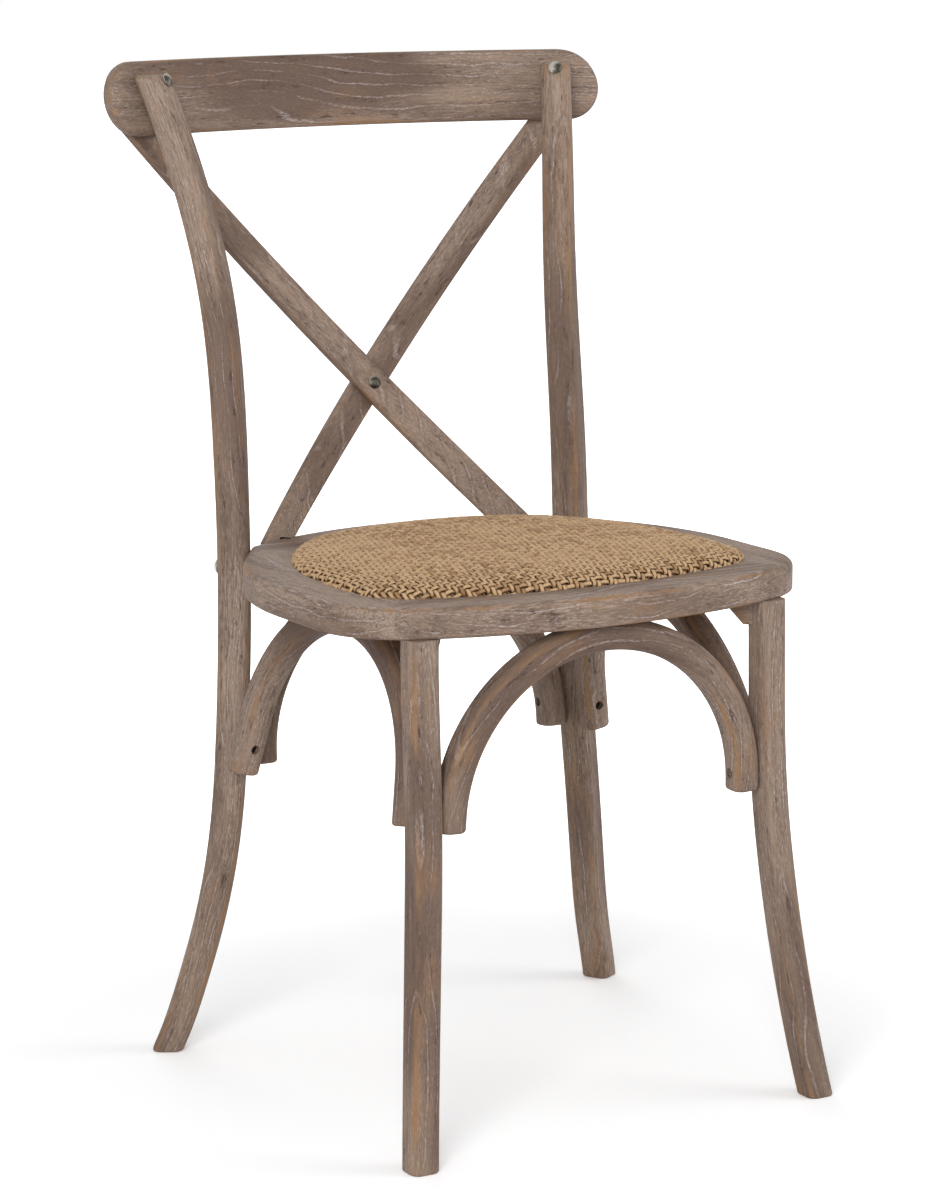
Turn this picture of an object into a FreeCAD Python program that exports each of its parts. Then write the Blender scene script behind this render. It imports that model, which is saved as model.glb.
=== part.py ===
import FreeCAD, Part
import Sketcher
import math
import os

# Cross back dining chair in weathered wood, with a woven rattan seat in a jointed seat ring.
# Millimetres. Z is up, the sitter faces -Y, and left (-X) and right (+X) are as seen from the front.
# Heights count from the floor. Depths count from the middle of the seat, and every piece is then
# set back by origin_back, so that the origin lies on the floor under the middle of the outer box.

V = FreeCAD.Vector
SIDES = (("left", -1), ("right", 1))

# Driving sizes: name, value, what it sets
SIZES = [
    ("seat_underside", 432.0, "floor to the underside of the seat ring"),
    ("ring_height", 26.0, "thickness of the seat ring"),
    ("ring_half_width", 228.5, "middle to the straight sides of the ring"),
    ("ring_front_radius", 510.0, "radius of the front of the ring"),
    ("ring_corner", 85.0, "radius of the ring's front corners"),
    ("ring_corner_line", 90.0, "middle to the centres of the front corners, along Y"),
    ("ring_side_line", 22.0, "middle to where the sides start to curve in"),
    ("ring_side_radius", 245.0, "radius of the sides towards the back"),
    ("ring_joint_line", 118.0, "middle to the joints between side and rear segments"),
    ("ring_rear", 203.5, "middle to the back of the ring"),
    ("ring_ear", 5.0, "how far the ring's ears reach past the seat bolts"),
    ("ring_joint_turn", 55.0, "turn of the front joints from the X axis, degrees"),
    ("ring_top_round", 6.0, "rounding of the ring's upper outer edge"),
    ("ring_low_round", 2.5, "rounding of the ring's lower outer edge"),
    ("ring_band", 42.0, "width of the ring from its outer edge to the opening"),
    ("opening_rear_corner", 32.0, "radius of the opening's rear corners"),
    ("board_thickness", 9.0, "thickness of the board under the weave"),
    ("board_lap", 5.0, "how far the board reaches under the ring's inner edge"),
    ("board_gap", 0.3, "clearance round the board in its rebate"),
    ("pad_gap", 1.2, "gap between the weave and the ring"),
    ("pad_edge_rise", 3.0, "height over the ring at which the weave turns in"),
    ("pad_crown", 14.0, "height of the weave's crown over the ring"),
    ("leg_section", 27.5, "side of the front legs' rounded square at the seat"),
    ("leg_foot_section", 26.5, "side of that square at the foot"),
    ("leg_round", 8.5, "corner radius of the legs and posts"),
    ("leg_x", 170.0, "middle to the front legs at the seat, along X"),
    ("leg_y", 161.0, "middle to the front legs at the seat, along Y"),
    ("leg_out", 26.5, "outward flare of the front feet"),
    ("leg_out_height", 300.0, "height at which that flare starts"),
    ("leg_out_power", 1.55, "how sharply it opens"),
    ("leg_forward", 46.5, "forward flare of the front feet"),
    ("leg_forward_height", 550.0, "height at which that flare would start"),
    ("leg_forward_power", 2.7, "how sharply it opens"),
    ("tenon_diameter", 14.0, "round tenon on top of the front legs"),
    ("tenon_length", 18.0, "length of that tenon"),
    ("post_section", 29.0, "side of the rear posts' rounded square at the seat"),
    ("post_end_section", 27.5, "side of that square at the foot and at the top"),
    ("post_x", 173.3, "middle to the rear posts above the seat, along X"),
    ("post_y", 158.5, "middle to the rear posts below the seat, along Y"),
    ("post_top", 866.0, "floor to the top of the rear posts"),
    ("post_out", 55.8, "outward flare of the rear feet"),
    ("post_out_height", 600.0, "height at which that flare would start"),
    ("post_out_power", 3.5, "how sharply it opens"),
    ("post_rearward", 35.0, "backward flare of the rear feet"),
    ("post_rearward_height", 200.0, "height at which that flare starts"),
    ("post_rearward_power", 1.4, "how sharply it opens"),
    ("post_top_out", 34.0, "outward bend of the posts at the top"),
    ("post_top_out_height", 620.0, "height at which that bend starts"),
    ("post_top_out_power", 1.72, "how sharply it opens"),
    ("post_top_back", 86.5, "backward bend of the posts at the top"),
    ("post_top_back_height", 200.0, "height at which that bend starts"),
    ("post_top_back_power", 3.55, "how sharply it opens"),
    ("post_low_turn", 30.0, "turn of the posts' section up to the seat, degrees"),
    ("post_top_turn", 58.0, "turn of the posts' section at the top, degrees"),
    ("foot_round", 2.0, "rounding of the feet"),
    ("post_top_round", 5.0, "rounding of the posts' upper ends"),
    ("crest_middle_height", 845.0, "floor to the middle of the crest rail"),
    ("crest_height", 64.0, "height of the crest rail"),
    ("crest_thickness", 15.0, "thickness of the crest rail"),
    ("crest_half_width", 251.0, "middle to the ends of the crest rail"),
    ("crest_back", 288.0, "middle of the seat to the middle of the crest rail"),
    ("crest_radius", 720.0, "radius of the crest rail in plan"),
    ("crest_lean", 16.7, "backward lean of the crest rail, degrees"),
    ("crest_round", 4.5, "rounding of the crest rail's edges"),
    ("crest_end_flat", 0.1, "half the flat left at the crest rail's round ends"),
    ("slat_width", 29.0, "width of the two cross slats"),
    ("slat_thickness", 8.0, "thickness of the two cross slats"),
    ("slat_round", 2.2, "rounding of their long edges"),
    ("slat_slope", 0.925, "sideways run of the slats for each millimetre of height"),
    ("slat_sweep", 0.00007, "how fast that run lessens with height, per millimetre"),
    ("slat_cross_height", 583.6, "floor to the crossing of the slats"),
    ("slat_cross_back", 227.0, "middle of the seat to the crossing of the slats"),
    ("slat_top", 830.0, "floor to the middle of the slats' upper ends"),
    ("slat_foot", 445.5, "floor to the middle of the slats' lower ends"),
    ("slat_screw_inset", 11.0, "height from the slats' ends to their screws"),
    ("slat_inset", 1.0, "how far the slats are let into crest rail and ring"),
    ("arch_section", 26.0, "side of the arches' rounded square"),
    ("arch_round", 10.0, "corner radius of the arches"),
    ("arch_foot_round", 3.0, "rounding of the arches' lower ends"),
    ("arch_screw_height", 284.5, "floor to the screws in the arch ends"),
    ("arch_crown_flat", 0.8, "depth of the flat where an arch meets the seat"),
    ("front_arch_radius", 144.5, "radius of the front arch, to its middle line"),
    ("front_arch_splay", 3.0, "how far the front arch's straight ends spread, degrees"),
    ("front_arch_y", 165.0, "middle of the seat to the ends of the front arch"),
    ("front_arch_tilt", 2.5, "forward tilt of the front arch, degrees"),
    ("front_arch_foot", 269.0, "floor to the front arch's ends"),
    ("rear_arch_radius", 151.0, "radius of the rear arch, to its middle line"),
    ("rear_arch_splay", 0.5, "how far the rear arch's straight ends spread, degrees"),
    ("rear_arch_y", 156.5, "middle of the seat to the ends of the rear arch"),
    ("rear_arch_tilt", 4.5, "backward tilt of the rear arch, degrees"),
    ("rear_arch_foot", 262.0, "floor to the rear arch's ends"),
    ("side_arch_radius", 132.5, "radius of the side arches, to their middle line"),
    ("side_arch_splay", 9.7, "how far the side arches' straight ends spread, degrees"),
    ("side_arch_x", 172.5, "middle of the seat to the middle of the side arches"),
    ("side_arch_y", 6.5, "middle of the seat to the middle of the side arches, forwards"),
    ("side_arch_turn", 2.1, "how far the side arches open towards the back, degrees"),
    ("side_arch_tilt", 10.6, "inward tilt of the side arches, degrees"),
    ("side_arch_front_foot", 271.5, "floor to the side arches' front ends"),
    ("side_arch_rear_foot", 262.5, "floor to the side arches' rear ends"),
    ("front_gusset_reach", 37.0, "length of a front corner bracket from the leg's middle"),
    ("rear_gusset_reach", 45.0, "length of a rear corner bracket from the post's middle"),
    ("gusset_drop", 22.0, "height of a corner bracket"),
    ("gusset_thickness", 16.0, "thickness of a corner bracket"),
    ("gusset_tip", 2.0, "flat at the bracket's far end"),
    ("gusset_heel", 5.0, "flat at the bracket's lower end"),
    ("bolt_shank", 6.0, "diameter of the bolts"),
    ("bolt_head", 12.0, "diameter of the bolts' domed heads"),
    ("bolt_head_rise", 3.2, "height of the domed heads"),
    ("bolt_head_rim", 0.8, "height of the rim under the dome"),
    ("insert_diameter", 9.0, "diameter of the threaded inserts that the bolts run into"),
    ("insert_length", 9.5, "length of those inserts"),
    ("crest_bolt_height", 856.0, "floor to the bolts through posts and crest rail"),
    ("crest_bolt_length", 36.0, "length of those bolts"),
    ("seat_bolt_height", 440.5, "floor to the bolts through posts and seat ring"),
    ("seat_bolt_length", 48.0, "length of those bolts"),
    ("cross_bolt_length", 21.0, "length of the bolt through the crossing"),
    ("nut_width", 11.0, "diameter of the round cap nut"),
    ("nut_height", 5.0, "height of the cap nut"),
    ("screw_shank", 4.0, "diameter of the wood screws"),
    ("screw_head", 7.6, "diameter of their heads"),
    ("screw_head_height", 2.8, "height of their heads"),
    ("arch_screw_length", 26.0, "length of the screws in the arch ends"),
    ("crown_screw_length", 20.0, "length of the screws in the arch crowns"),
    ("slat_screw_length", 18.0, "length of the screws in the slat ends"),
    ("gusset_screw_length", 16.0, "length of the screws in the corner brackets"),
    ("counterbore", 8.2, "diameter of the counterbores over the screw heads"),
    ("counterbore_depth", 9.0, "depth of the counterbores in the arches"),
    ("dowel_diameter", 7.0, "diameter of the dowels between ring segments"),
    ("dowel_length", 20.0, "length of those dowels"),
    ("dowel_spacing", 10.0, "spacing of the two dowels in a joint"),
]

doc = FreeCAD.newDocument("cross_back_chair")
sheet = doc.addObject("Spreadsheet::Sheet", "sizes")
for row, (alias, number, note) in enumerate(SIZES, start=1):
    sheet.set(f"A{row}", note)
    sheet.set(f"B{row}", str(number))
    sheet.setAlias(f"B{row}", alias)
doc.recompute()


class Size:
    """A number that also carries its formula in the sheet, so that sizes stay bound to the cells."""

    def __init__(self, number, text):
        self.number = float(number)
        self.text = text

    def __float__(self):
        return self.number

    def __neg__(self):
        return Size(-self.number, f"(0 - {self.text})")

    def __add__(self, other):
        return Size(self.number + float(other), f"({self.text} + {text_of(other)})")

    def __radd__(self, other):
        return Size(float(other) + self.number, f"({text_of(other)} + {self.text})")

    def __sub__(self, other):
        return Size(self.number - float(other), f"({self.text} - {text_of(other)})")

    def __rsub__(self, other):
        return Size(float(other) - self.number, f"({text_of(other)} - {self.text})")

    def __mul__(self, other):
        return Size(self.number * float(other), f"({self.text} * {text_of(other)})")

    def __rmul__(self, other):
        return self * other

    def __truediv__(self, other):
        return Size(self.number / float(other), f"({self.text} / {text_of(other)})")

    def __rtruediv__(self, other):
        return Size(float(other) / self.number, f"({text_of(other)} / {self.text})")

    def __pow__(self, other):
        return Size(self.number ** float(other), f"({self.text} ^ {text_of(other)})")


def text_of(value):
    return value.text if isinstance(value, Size) else repr(float(value))


def root(value):
    return Size(math.sqrt(float(value)), f"sqrt({text_of(value)})")


def sine(degrees):
    return Size(math.sin(math.radians(float(degrees))), f"sin({text_of(degrees)} * 1 deg)")


def cosine(degrees):
    return Size(math.cos(math.radians(float(degrees))), f"cos({text_of(degrees)} * 1 deg)")


def tangent(degrees):
    return Size(math.tan(math.radians(float(degrees))), f"tan({text_of(degrees)} * 1 deg)")


def above_zero(value, power):
    """value to a power, or nothing where value is below zero."""
    if float(value) <= 0.0:
        return 0.0
    return value ** power


class Cells:
    """Reads the sheet's cells by their alias, as sizes."""

    def __getattr__(self, name):
        return Size(sheet.get(name), f"sizes.{name}")


s = Cells()
ring_top = s.seat_underside + s.ring_height
board_top = s.seat_underside + s.board_thickness
ring_middle = s.seat_underside + s.ring_height / 2

# Half the depth of the outer box lies between the front feet and the crest rail's upper back edge
crest_reach = s.crest_thickness / 2 + s.crest_round - s.crest_round / cosine(s.crest_lean)
crest_overhang = (s.crest_height / 2 - s.crest_round) * tangent(s.crest_lean)
rear_extent = s.crest_back + crest_reach + crest_overhang
foot_share = (1 - s.foot_round / s.leg_forward_height) ** s.leg_forward_power
front_extent = s.leg_y + s.leg_forward * foot_share + s.leg_foot_section / 2
origin_back = (rear_extent - front_extent) / 2


# Helpers for placing, sketching and cutting


def bind(thing, prop, value):
    if isinstance(value, Size):
        thing.setExpression(prop, value.text)


def place(thing, x, y, z, turn=FreeCAD.Rotation()):
    """Sets a piece at a point measured from the middle of the seat, on the floor."""
    spot = [x, y - origin_back, z]
    thing.Placement = FreeCAD.Placement(V(*[float(value) for value in spot]), turn)
    for axis, value in zip("xyz", spot):
        bind(thing, f"Placement.Base.{axis}", value)


def new_body(name):
    body = doc.addObject("PartDesign::Body", name)
    body.Label = name
    return body


def new_sketch(body, plane, x=0.0, y=0.0, z=0.0, turn=FreeCAD.Rotation()):
    """A sketch on one of the body's own planes, shifted and turned from it."""
    sketch = body.newObject("Sketcher::SketchObject", "Sketch")
    support = [feature for feature in body.Origin.OriginFeatures if feature.Role == plane]
    sketch.AttachmentSupport = [(support[0], "")]
    sketch.MapMode = "FlatFace"
    sketch.AttachmentOffset = FreeCAD.Placement(V(float(x), float(y), float(z)), turn)
    for axis, value in zip("xyz", (x, y, z)):
        bind(sketch, f"AttachmentOffset.Base.{axis}", value)
    return sketch


def datum(sketch, kind, target, value):
    """Adds a sized constraint and binds it to the sheet."""
    index = sketch.addConstraint(Sketcher.Constraint(kind, *target, float(value)))
    bind(sketch, f"Constraints[{index}]", value)


def arc_between(start, end, radius, inward):
    """The short arc from start to end. It bulges to the right of the way, or inwards to the left."""
    chord = end - start
    left = V(-chord.y, chord.x, 0).normalize()
    lift = math.sqrt(max(radius ** 2 - chord.Length ** 2 / 4, 0.0))
    centre = start + chord / 2 + left * (-lift if inward else lift)
    first, last = (end, start) if inward else (start, end)
    angles = [math.atan2(point.y - centre.y, point.x - centre.x) for point in (first, last)]
    return Part.ArcOfCircle(Part.Circle(centre, V(0, 0, 1), radius), *angles)


def contour(sketch, corners):
    """A closed outline, anticlockwise. Each corner is (x, y) before a straight run, (x, y, radius)
    before an arc, or (x, y, radius, True) before an arc that curves inwards."""
    count = len(corners)
    starts = []
    for index, corner in enumerate(corners):
        following = corners[(index + 1) % count]
        start = V(float(corner[0]), float(corner[1]), 0)
        end = V(float(following[0]), float(following[1]), 0)
        inward = len(corner) > 3
        if len(corner) == 2:
            sketch.addGeometry(Part.LineSegment(start, end))
        else:
            sketch.addGeometry(arc_between(start, end, float(corner[2]), inward))
        starts.append((index, 2 if inward else 1))
    for index, corner in enumerate(corners):
        start = starts[index]
        before = starts[index - 1]
        end_before = (before[0], 3 - before[1])
        sketch.addConstraint(Sketcher.Constraint("Coincident", *end_before, *start))
        for kind, value in (("DistanceX", corner[0]), ("DistanceY", corner[1])):
            if isinstance(value, Size):
                datum(sketch, kind, (-1, 1) + start, value)
            else:
                axis = -2 if kind == "DistanceX" else -1
                sketch.addConstraint(Sketcher.Constraint("PointOnObject", *start, axis))
        if len(corner) > 2:
            datum(sketch, "Radius", (index,), corner[2])


def rounded_square(sketch, width, depth, corner):
    x = width / 2
    y = depth / 2
    contour(sketch, [
        (x, corner - y), (x, y - corner, corner),
        (x - corner, y), (corner - x, y, corner),
        (-x, y - corner), (-x, corner - y, corner),
        (corner - x, -y), (x - corner, -y, corner),
    ])


def pad(body, sketch, length, midplane=False):
    feature = body.newObject("PartDesign::Pad", "Pad")
    feature.Profile = sketch
    feature.Length = float(length)
    bind(feature, "Length", length)
    if midplane:
        feature.SideType = "Symmetric"
    return feature


def loft(body, sketches, ruled=False):
    feature = body.newObject("PartDesign::AdditiveLoft", "Loft")
    feature.Profile = sketches[0]
    feature.Sections = sketches[1:]
    feature.Ruled = ruled
    return feature


def round_edges(body, radius, chosen):
    """Rounds the edges of the body's latest feature for which chosen(edge) is true."""
    doc.recompute()
    base = body.Tip
    names = [f"Edge{n}" for n, edge in enumerate(base.Shape.Edges, start=1) if chosen(edge)]
    feature = body.newObject("PartDesign::Fillet", "Fillet")
    feature.Base = (base, names)
    feature.Radius = float(radius)
    bind(feature, "Radius", radius)
    return feature


def cut(name, base, *tools):
    """What is left of base after each of the tools is taken away from it in turn."""
    for index, tool in enumerate(tools):
        piece = doc.addObject("Part::Cut", f"{name}_cut_{index}")
        piece.Base = base
        piece.Tool = tool
        base = piece
    base.Label = name
    return base


def common(name, base, tool):
    piece = doc.addObject("Part::Common", name)
    piece.Base = base
    piece.Tool = tool
    return piece


def group(name, pieces):
    """Like pieces that share one node, each a solid of its own."""
    bundle = doc.addObject("Part::Compound", name)
    bundle.Label = name
    bundle.Links = pieces
    return bundle


def aim(direction):
    """The turn that points a fastener's head along a direction."""
    return FreeCAD.Rotation(V(0, 0, 1), direction)


def flat_box(name, x, y, z):
    """A tall wide box above a level plane, to cut pieces off flat."""
    reach = 400.0
    box = doc.addObject("Part::Box", name)
    box.Length = 2 * reach
    box.Width = 2 * reach
    box.Height = reach
    place(box, x - reach, y - reach, z)
    return box


# Fasteners, drawn with the underside of the head at the origin and the head towards +Z


def turned(name, outline):
    """A turned piece from its half outline of (radius, height) corners."""
    body = new_body(name)
    sketch = new_sketch(body, "XZ_Plane")
    contour(sketch, outline)
    feature = body.newObject("PartDesign::Revolution", "Revolution")
    feature.Profile = sketch
    feature.ReferenceAxis = (sketch, ["V_Axis"])
    feature.Angle = 360.0
    return body


def dome_bolt(name, length):
    dome = s.bolt_head_rise - s.bolt_head_rim
    half = s.bolt_head / 2
    curve = (half * half + dome * dome) / (dome * 2)
    return turned(name, [
        (0, -length), (s.bolt_shank / 2, -length), (s.bolt_shank / 2, 0), (half, 0),
        (half, s.bolt_head_rim, curve), (0, s.bolt_head_rise),
    ])


def wood_screw(name, length):
    return turned(name, [
        (0, -length), (s.screw_shank / 2, s.screw_shank - length), (s.screw_shank / 2, 0),
        (s.screw_head / 2, 0), (s.screw_head / 2, s.screw_head_height), (0, s.screw_head_height),
    ])


def plain_rod(name, diameter, length):
    """A round rod that runs down from its origin."""
    return turned(name, [(0, -length), (diameter / 2, -length), (diameter / 2, 0), (0, 0)])


def sleeve(name, length):
    """A threaded insert round a bolt, running down from its origin."""
    inner = s.bolt_shank / 2
    outer = s.insert_diameter / 2
    return turned(name, [(inner, -length), (outer, -length), (outer, 0), (inner, 0)])


def set_fastener(body, point, direction, shift=0.0):
    """Sets a fastener at a point from the seat's middle, shifted along the head's direction."""
    way = V(direction).normalize()
    spot = point + way * float(shift)
    place(body, spot.x, spot.y, spot.z, aim(way))
    return body


# Centre lines of the legs and posts


def leg_point(height, side):
    out = above_zero(1 - height / s.leg_out_height, s.leg_out_power)
    forward = above_zero(1 - height / s.leg_forward_height, s.leg_forward_power)
    return (s.leg_x + s.leg_out * out) * side, -(s.leg_y + s.leg_forward * forward)


def post_point(height, side):
    out = s.post_out * above_zero(1 - height / s.post_out_height, s.post_out_power)
    foot = s.post_rearward * above_zero(1 - height / s.post_rearward_height, s.post_rearward_power)
    rise = (height - s.post_top_out_height) / (s.post_top - s.post_top_out_height)
    top_out = s.post_top_out * above_zero(rise, s.post_top_out_power)
    rise = (height - s.post_top_back_height) / (s.post_top - s.post_top_back_height)
    top_back = s.post_top_back * above_zero(rise, s.post_top_back_power)
    return (s.post_x + out + top_out) * side, s.post_y + foot + top_back


def post_turn(height, side):
    """Turn of the post's section, which twists from the seat up to the crest rail."""
    rise = max(float((height - ring_top) / (s.post_top - ring_top)), 0.0)
    low = float(s.post_low_turn)
    return side * (low + (float(s.post_top_turn) - low) * rise)


def post_spot(height, side):
    """The middle of a post as a point, at a plain height."""
    x, y = post_point(height, side)
    return V(float(x), float(y), float(height))


def post_way(height, side):
    """The direction of a post's centre line."""
    step = 1.0
    return (post_spot(height + step, side) - post_spot(height - step, side)).normalize()


# Front legs: rounded square, flaring forwards and outwards to the foot, with a round tenon on top
LEG_STATIONS = (0.0, 0.14, 0.29, 0.46, 0.63, 0.81, 1.0)
END_ANGLES = (0.0, 30.0, 60.0, 90.0)


def square_stations(body, points, heights, widths, turns, corners, ruled=False):
    """Lofts rounded squares through stations of a leg or post."""
    sketches = []
    for (x, y), height, width, turn, corner in zip(points, heights, widths, turns, corners):
        rotation = FreeCAD.Rotation(V(0, 0, 1), float(turn))
        sketch = new_sketch(body, "XY_Plane", x, y, height, rotation)
        rounded_square(sketch, width, width, corner)
        sketches.append(sketch)
    return loft(body, sketches, ruled)


def rounded_end(body, start, way, radius, width, path, turn):
    """Draws the end of a leg or post in to a quarter round, upwards or downwards from start."""
    insets = [radius * (1 - math.cos(math.radians(angle))) for angle in END_ANGLES]
    heights = [start + radius * (way * math.sin(math.radians(angle))) for angle in END_ANGLES]
    points = [path(height) for height in heights]
    widths = [width - inset * 2 for inset in insets]
    corners = [s.leg_round - inset for inset in insets]
    square_stations(body, points, heights, widths, [turn] * len(END_ANGLES), corners, ruled=True)


def front_leg(name, side):
    body = new_body(f"{name}_blank")
    place(body, 0.0, 0.0, 0.0)
    length = s.seat_underside - s.foot_round
    heights = [s.foot_round + length * share for share in LEG_STATIONS]
    widths = [s.leg_foot_section + (s.leg_section - s.leg_foot_section) * share for share in LEG_STATIONS]
    points = [leg_point(height, side) for height in heights]
    count = len(heights)
    square_stations(body, points, heights, widths, [0.0] * count, [s.leg_round] * count)
    rounded_end(body, s.foot_round, -1, s.foot_round, widths[0], lambda z: leg_point(z, side), 0.0)
    x, y = points[-1]
    tenon = new_sketch(body, "XY_Plane", x, y, s.seat_underside)
    tenon.addGeometry(Part.Circle(V(0, 0, 0), V(0, 0, 1), float(s.tenon_diameter / 2)))
    tenon.addConstraint(Sketcher.Constraint("Coincident", 0, 3, -1, 1))
    datum(tenon, "Radius", (0,), s.tenon_diameter / 2)
    pad(body, tenon, s.tenon_length)
    return body


# Rear posts: one bent piece each from the foot past the seat ring to the crest rail
POST_STATIONS = (0.0, 0.07, 0.15, 0.24, 0.34, 0.44, 0.53, 0.62, 0.71, 0.8, 0.88, 0.945, 1.0)
POST_FULL_SHARE = 0.5


def rear_post(name, side):
    body = new_body(f"{name}_blank")
    place(body, 0.0, 0.0, 0.0)
    length = s.post_top - s.post_top_round - s.foot_round
    heights = [s.foot_round + length * share for share in POST_STATIONS]
    slimmer = [abs(share - POST_FULL_SHARE) / POST_FULL_SHARE for share in POST_STATIONS]
    widths = [s.post_section - (s.post_section - s.post_end_section) * share for share in slimmer]
    points = [post_point(height, side) for height in heights]
    turns = [post_turn(height, side) for height in heights]
    square_stations(body, points, heights, widths, turns, [s.leg_round] * len(heights))
    path = lambda z: post_point(z, side)
    rounded_end(body, heights[0], -1, s.foot_round, widths[0], path, turns[0])
    rounded_end(body, heights[-1], 1, s.post_top_round, widths[-1], path, turns[-1])
    return body


legs = {name: front_leg(f"front_leg_{name}", side) for name, side in SIDES}
posts = {name: rear_post(f"rear_post_{name}", side) for name, side in SIDES}

# Crest rail: a bent board with round ends, leaning back behind the post tops


def crest_board():
    """The bent board before its ends are rounded."""
    body = new_body("crest_rail_board")
    lean = tangent(s.crest_lean)
    place(body, 0.0, s.crest_back, s.crest_middle_height)
    sketch = new_sketch(body, "XY_Plane", 0.0, -(lean * s.crest_height / 2), -s.crest_height / 2)
    outer = s.crest_radius + s.crest_thickness / 2
    inner = s.crest_radius - s.crest_thickness / 2
    x = s.crest_half_width + s.crest_thickness
    deep = s.crest_radius - root(outer * outer - x * x)
    shallow = s.crest_radius - root(inner * inner - x * x)
    contour(sketch, [(-x, -shallow, inner, True), (x, -shallow), (x, -deep, outer), (-x, -deep)])
    feature = pad(body, sketch, s.crest_height)
    feature.UseCustomVector = True
    feature.Direction = V(0, float(lean), 1)
    feature.AlongSketchNormal = True
    return body


def crest_outline():
    """A prism with the rail's front view, its ends half round."""
    body = new_body("crest_rail_outline")
    place(body, 0.0, s.crest_back, s.crest_middle_height)
    sketch = new_sketch(body, "XZ_Plane")
    z = s.crest_height / 2
    r = z - s.crest_end_flat
    x = s.crest_half_width
    contour(sketch, [
        (r - x, -z), (x - r, -z, r), (x, r - z), (x, z - r, r),
        (x - r, z), (r - x, z, r), (-x, z - r), (-x, r - z, r),
    ])
    pad(body, sketch, s.crest_back, midplane=True)
    return body


def crest_blank():
    blank = common("crest_rail_blank", crest_board(), crest_outline())
    doc.recompute()
    rounded = doc.addObject("Part::Fillet", "crest_rail_rounded")
    rounded.Base = blank
    radius = float(s.crest_round)
    along = [n for n, edge in enumerate(blank.Shape.Edges, start=1) if not is_across(edge)]
    rounded.Edges = [(n, radius, radius) for n in along]
    return rounded


def is_across(edge):
    """True for a short edge that runs straight from the front face to the back face."""
    box = edge.BoundBox
    return box.XLength < 1e-3 and box.ZLength < 1e-3


crest = crest_blank()

# Cross slats: thin bent strips that cross behind the sitter, fixed to the crest rail and the ring.
# Their middle surface follows the crest rail at the top and the back of the ring at the foot.
SLAT_STATIONS = (0.0, 0.12, 0.24, 0.34, 0.42, 0.55, 0.7, 0.85, 1.0)
slat_rise_top = s.slat_top - s.slat_cross_height
slat_rise_foot = s.slat_foot - s.slat_cross_height
slat_out_top = slat_rise_top * (s.slat_slope - s.slat_sweep * slat_rise_top)
slat_out_foot = -slat_rise_foot * (s.slat_slope - s.slat_sweep * slat_rise_foot)


def crest_back_face(x, height):
    """How far behind the seat's middle the crest rail's back face lies."""
    bend = root(s.crest_radius * s.crest_radius - x * x) - s.crest_radius
    return s.crest_back + bend + (height - s.crest_middle_height) * tangent(s.crest_lean)


post_seat_x, post_seat_y = post_point(ring_middle, 1)
ear_x = post_seat_x - sine(90 - s.post_low_turn) * (s.post_section / 2) - s.ring_ear * sine(s.post_low_turn)
ear_y = post_seat_y - sine(s.post_low_turn) * (s.post_section / 2) + s.ring_ear * cosine(s.post_low_turn)
ring_rear_sag = s.ring_rear - ear_y
ring_rear_radius = (ear_x * ear_x + ring_rear_sag * ring_rear_sag) / (ring_rear_sag * 2)
ring_rear_centre = s.ring_rear - ring_rear_radius


def slat_curve():
    """The two numbers of y = cross + lean * rise - bow * rise^2 that reach crest rail and ring."""
    half = s.slat_thickness / 2 - s.slat_inset
    top_slant = root(1 + (slat_out_top / s.crest_radius) ** 2 + tangent(s.crest_lean) ** 2)
    top_y = crest_back_face(slat_out_top, s.slat_top) + (s.crest_thickness / 2) + half * top_slant
    ring_y = ring_rear_centre + root(ring_rear_radius * ring_rear_radius - slat_out_foot * slat_out_foot)
    foot_y = ring_y + half * ring_rear_radius / (ring_y - ring_rear_centre)
    top_gain = (top_y - s.slat_cross_back) / slat_rise_top
    foot_gain = (foot_y - s.slat_cross_back) / slat_rise_foot
    bow = (foot_gain - top_gain) / (slat_rise_top - slat_rise_foot)
    return top_gain + bow * slat_rise_top, bow


slat_lean, slat_bow = slat_curve()


def slat_station(height, way, layer):
    """A point and a turn on a slat's middle line. way sets its slope, layer its place at the crossing."""
    rise = float(height) - float(s.slat_cross_height)
    run = float(s.slat_slope) - float(s.slat_sweep) * rise
    slope = way * (run - float(s.slat_sweep) * rise)
    lean = float(slat_lean) - 2 * float(slat_bow) * rise
    end = float(s.slat_top if rise > 0 else s.slat_foot) - float(s.slat_cross_height)
    fade = 1 - (rise / end) ** 2
    offset = layer * float(s.slat_thickness) / 2 * fade
    x = way * run * rise
    y = float(s.slat_cross_back) + float(slat_lean) * rise - float(slat_bow) * rise ** 2 + offset
    radius = float(s.crest_radius if rise > 0 else ring_rear_radius)
    along = V(slope, lean, 1).normalize()
    sideways = x / radius
    facing = V(sideways, 1, -(lean + slope * sideways)).normalize()
    turn = FreeCAD.Rotation(facing.cross(along), facing, along, "ZXY")
    return V(x, y, float(height)), turn


def cross_slat(name, way, layer):
    body = new_body(f"{name}_blank")
    place(body, 0.0, 0.0, 0.0)
    sketches = []
    for share in SLAT_STATIONS:
        height = s.slat_foot + (s.slat_top - s.slat_foot) * share
        point, turn = slat_station(height, way, layer)
        sketch = new_sketch(body, "XY_Plane", point.x, point.y, point.z, turn)
        rounded_square(sketch, s.slat_width, s.slat_thickness, s.slat_round)
        sketches.append(sketch)
    loft(body, sketches)
    return body


front_slat = cross_slat("cross_slat_front", -1, -1)
back_slat = cross_slat("cross_slat_back", 1, 1)

# Seat ring: four sawn segments, jointed at two points in front and two beside the posts


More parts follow.
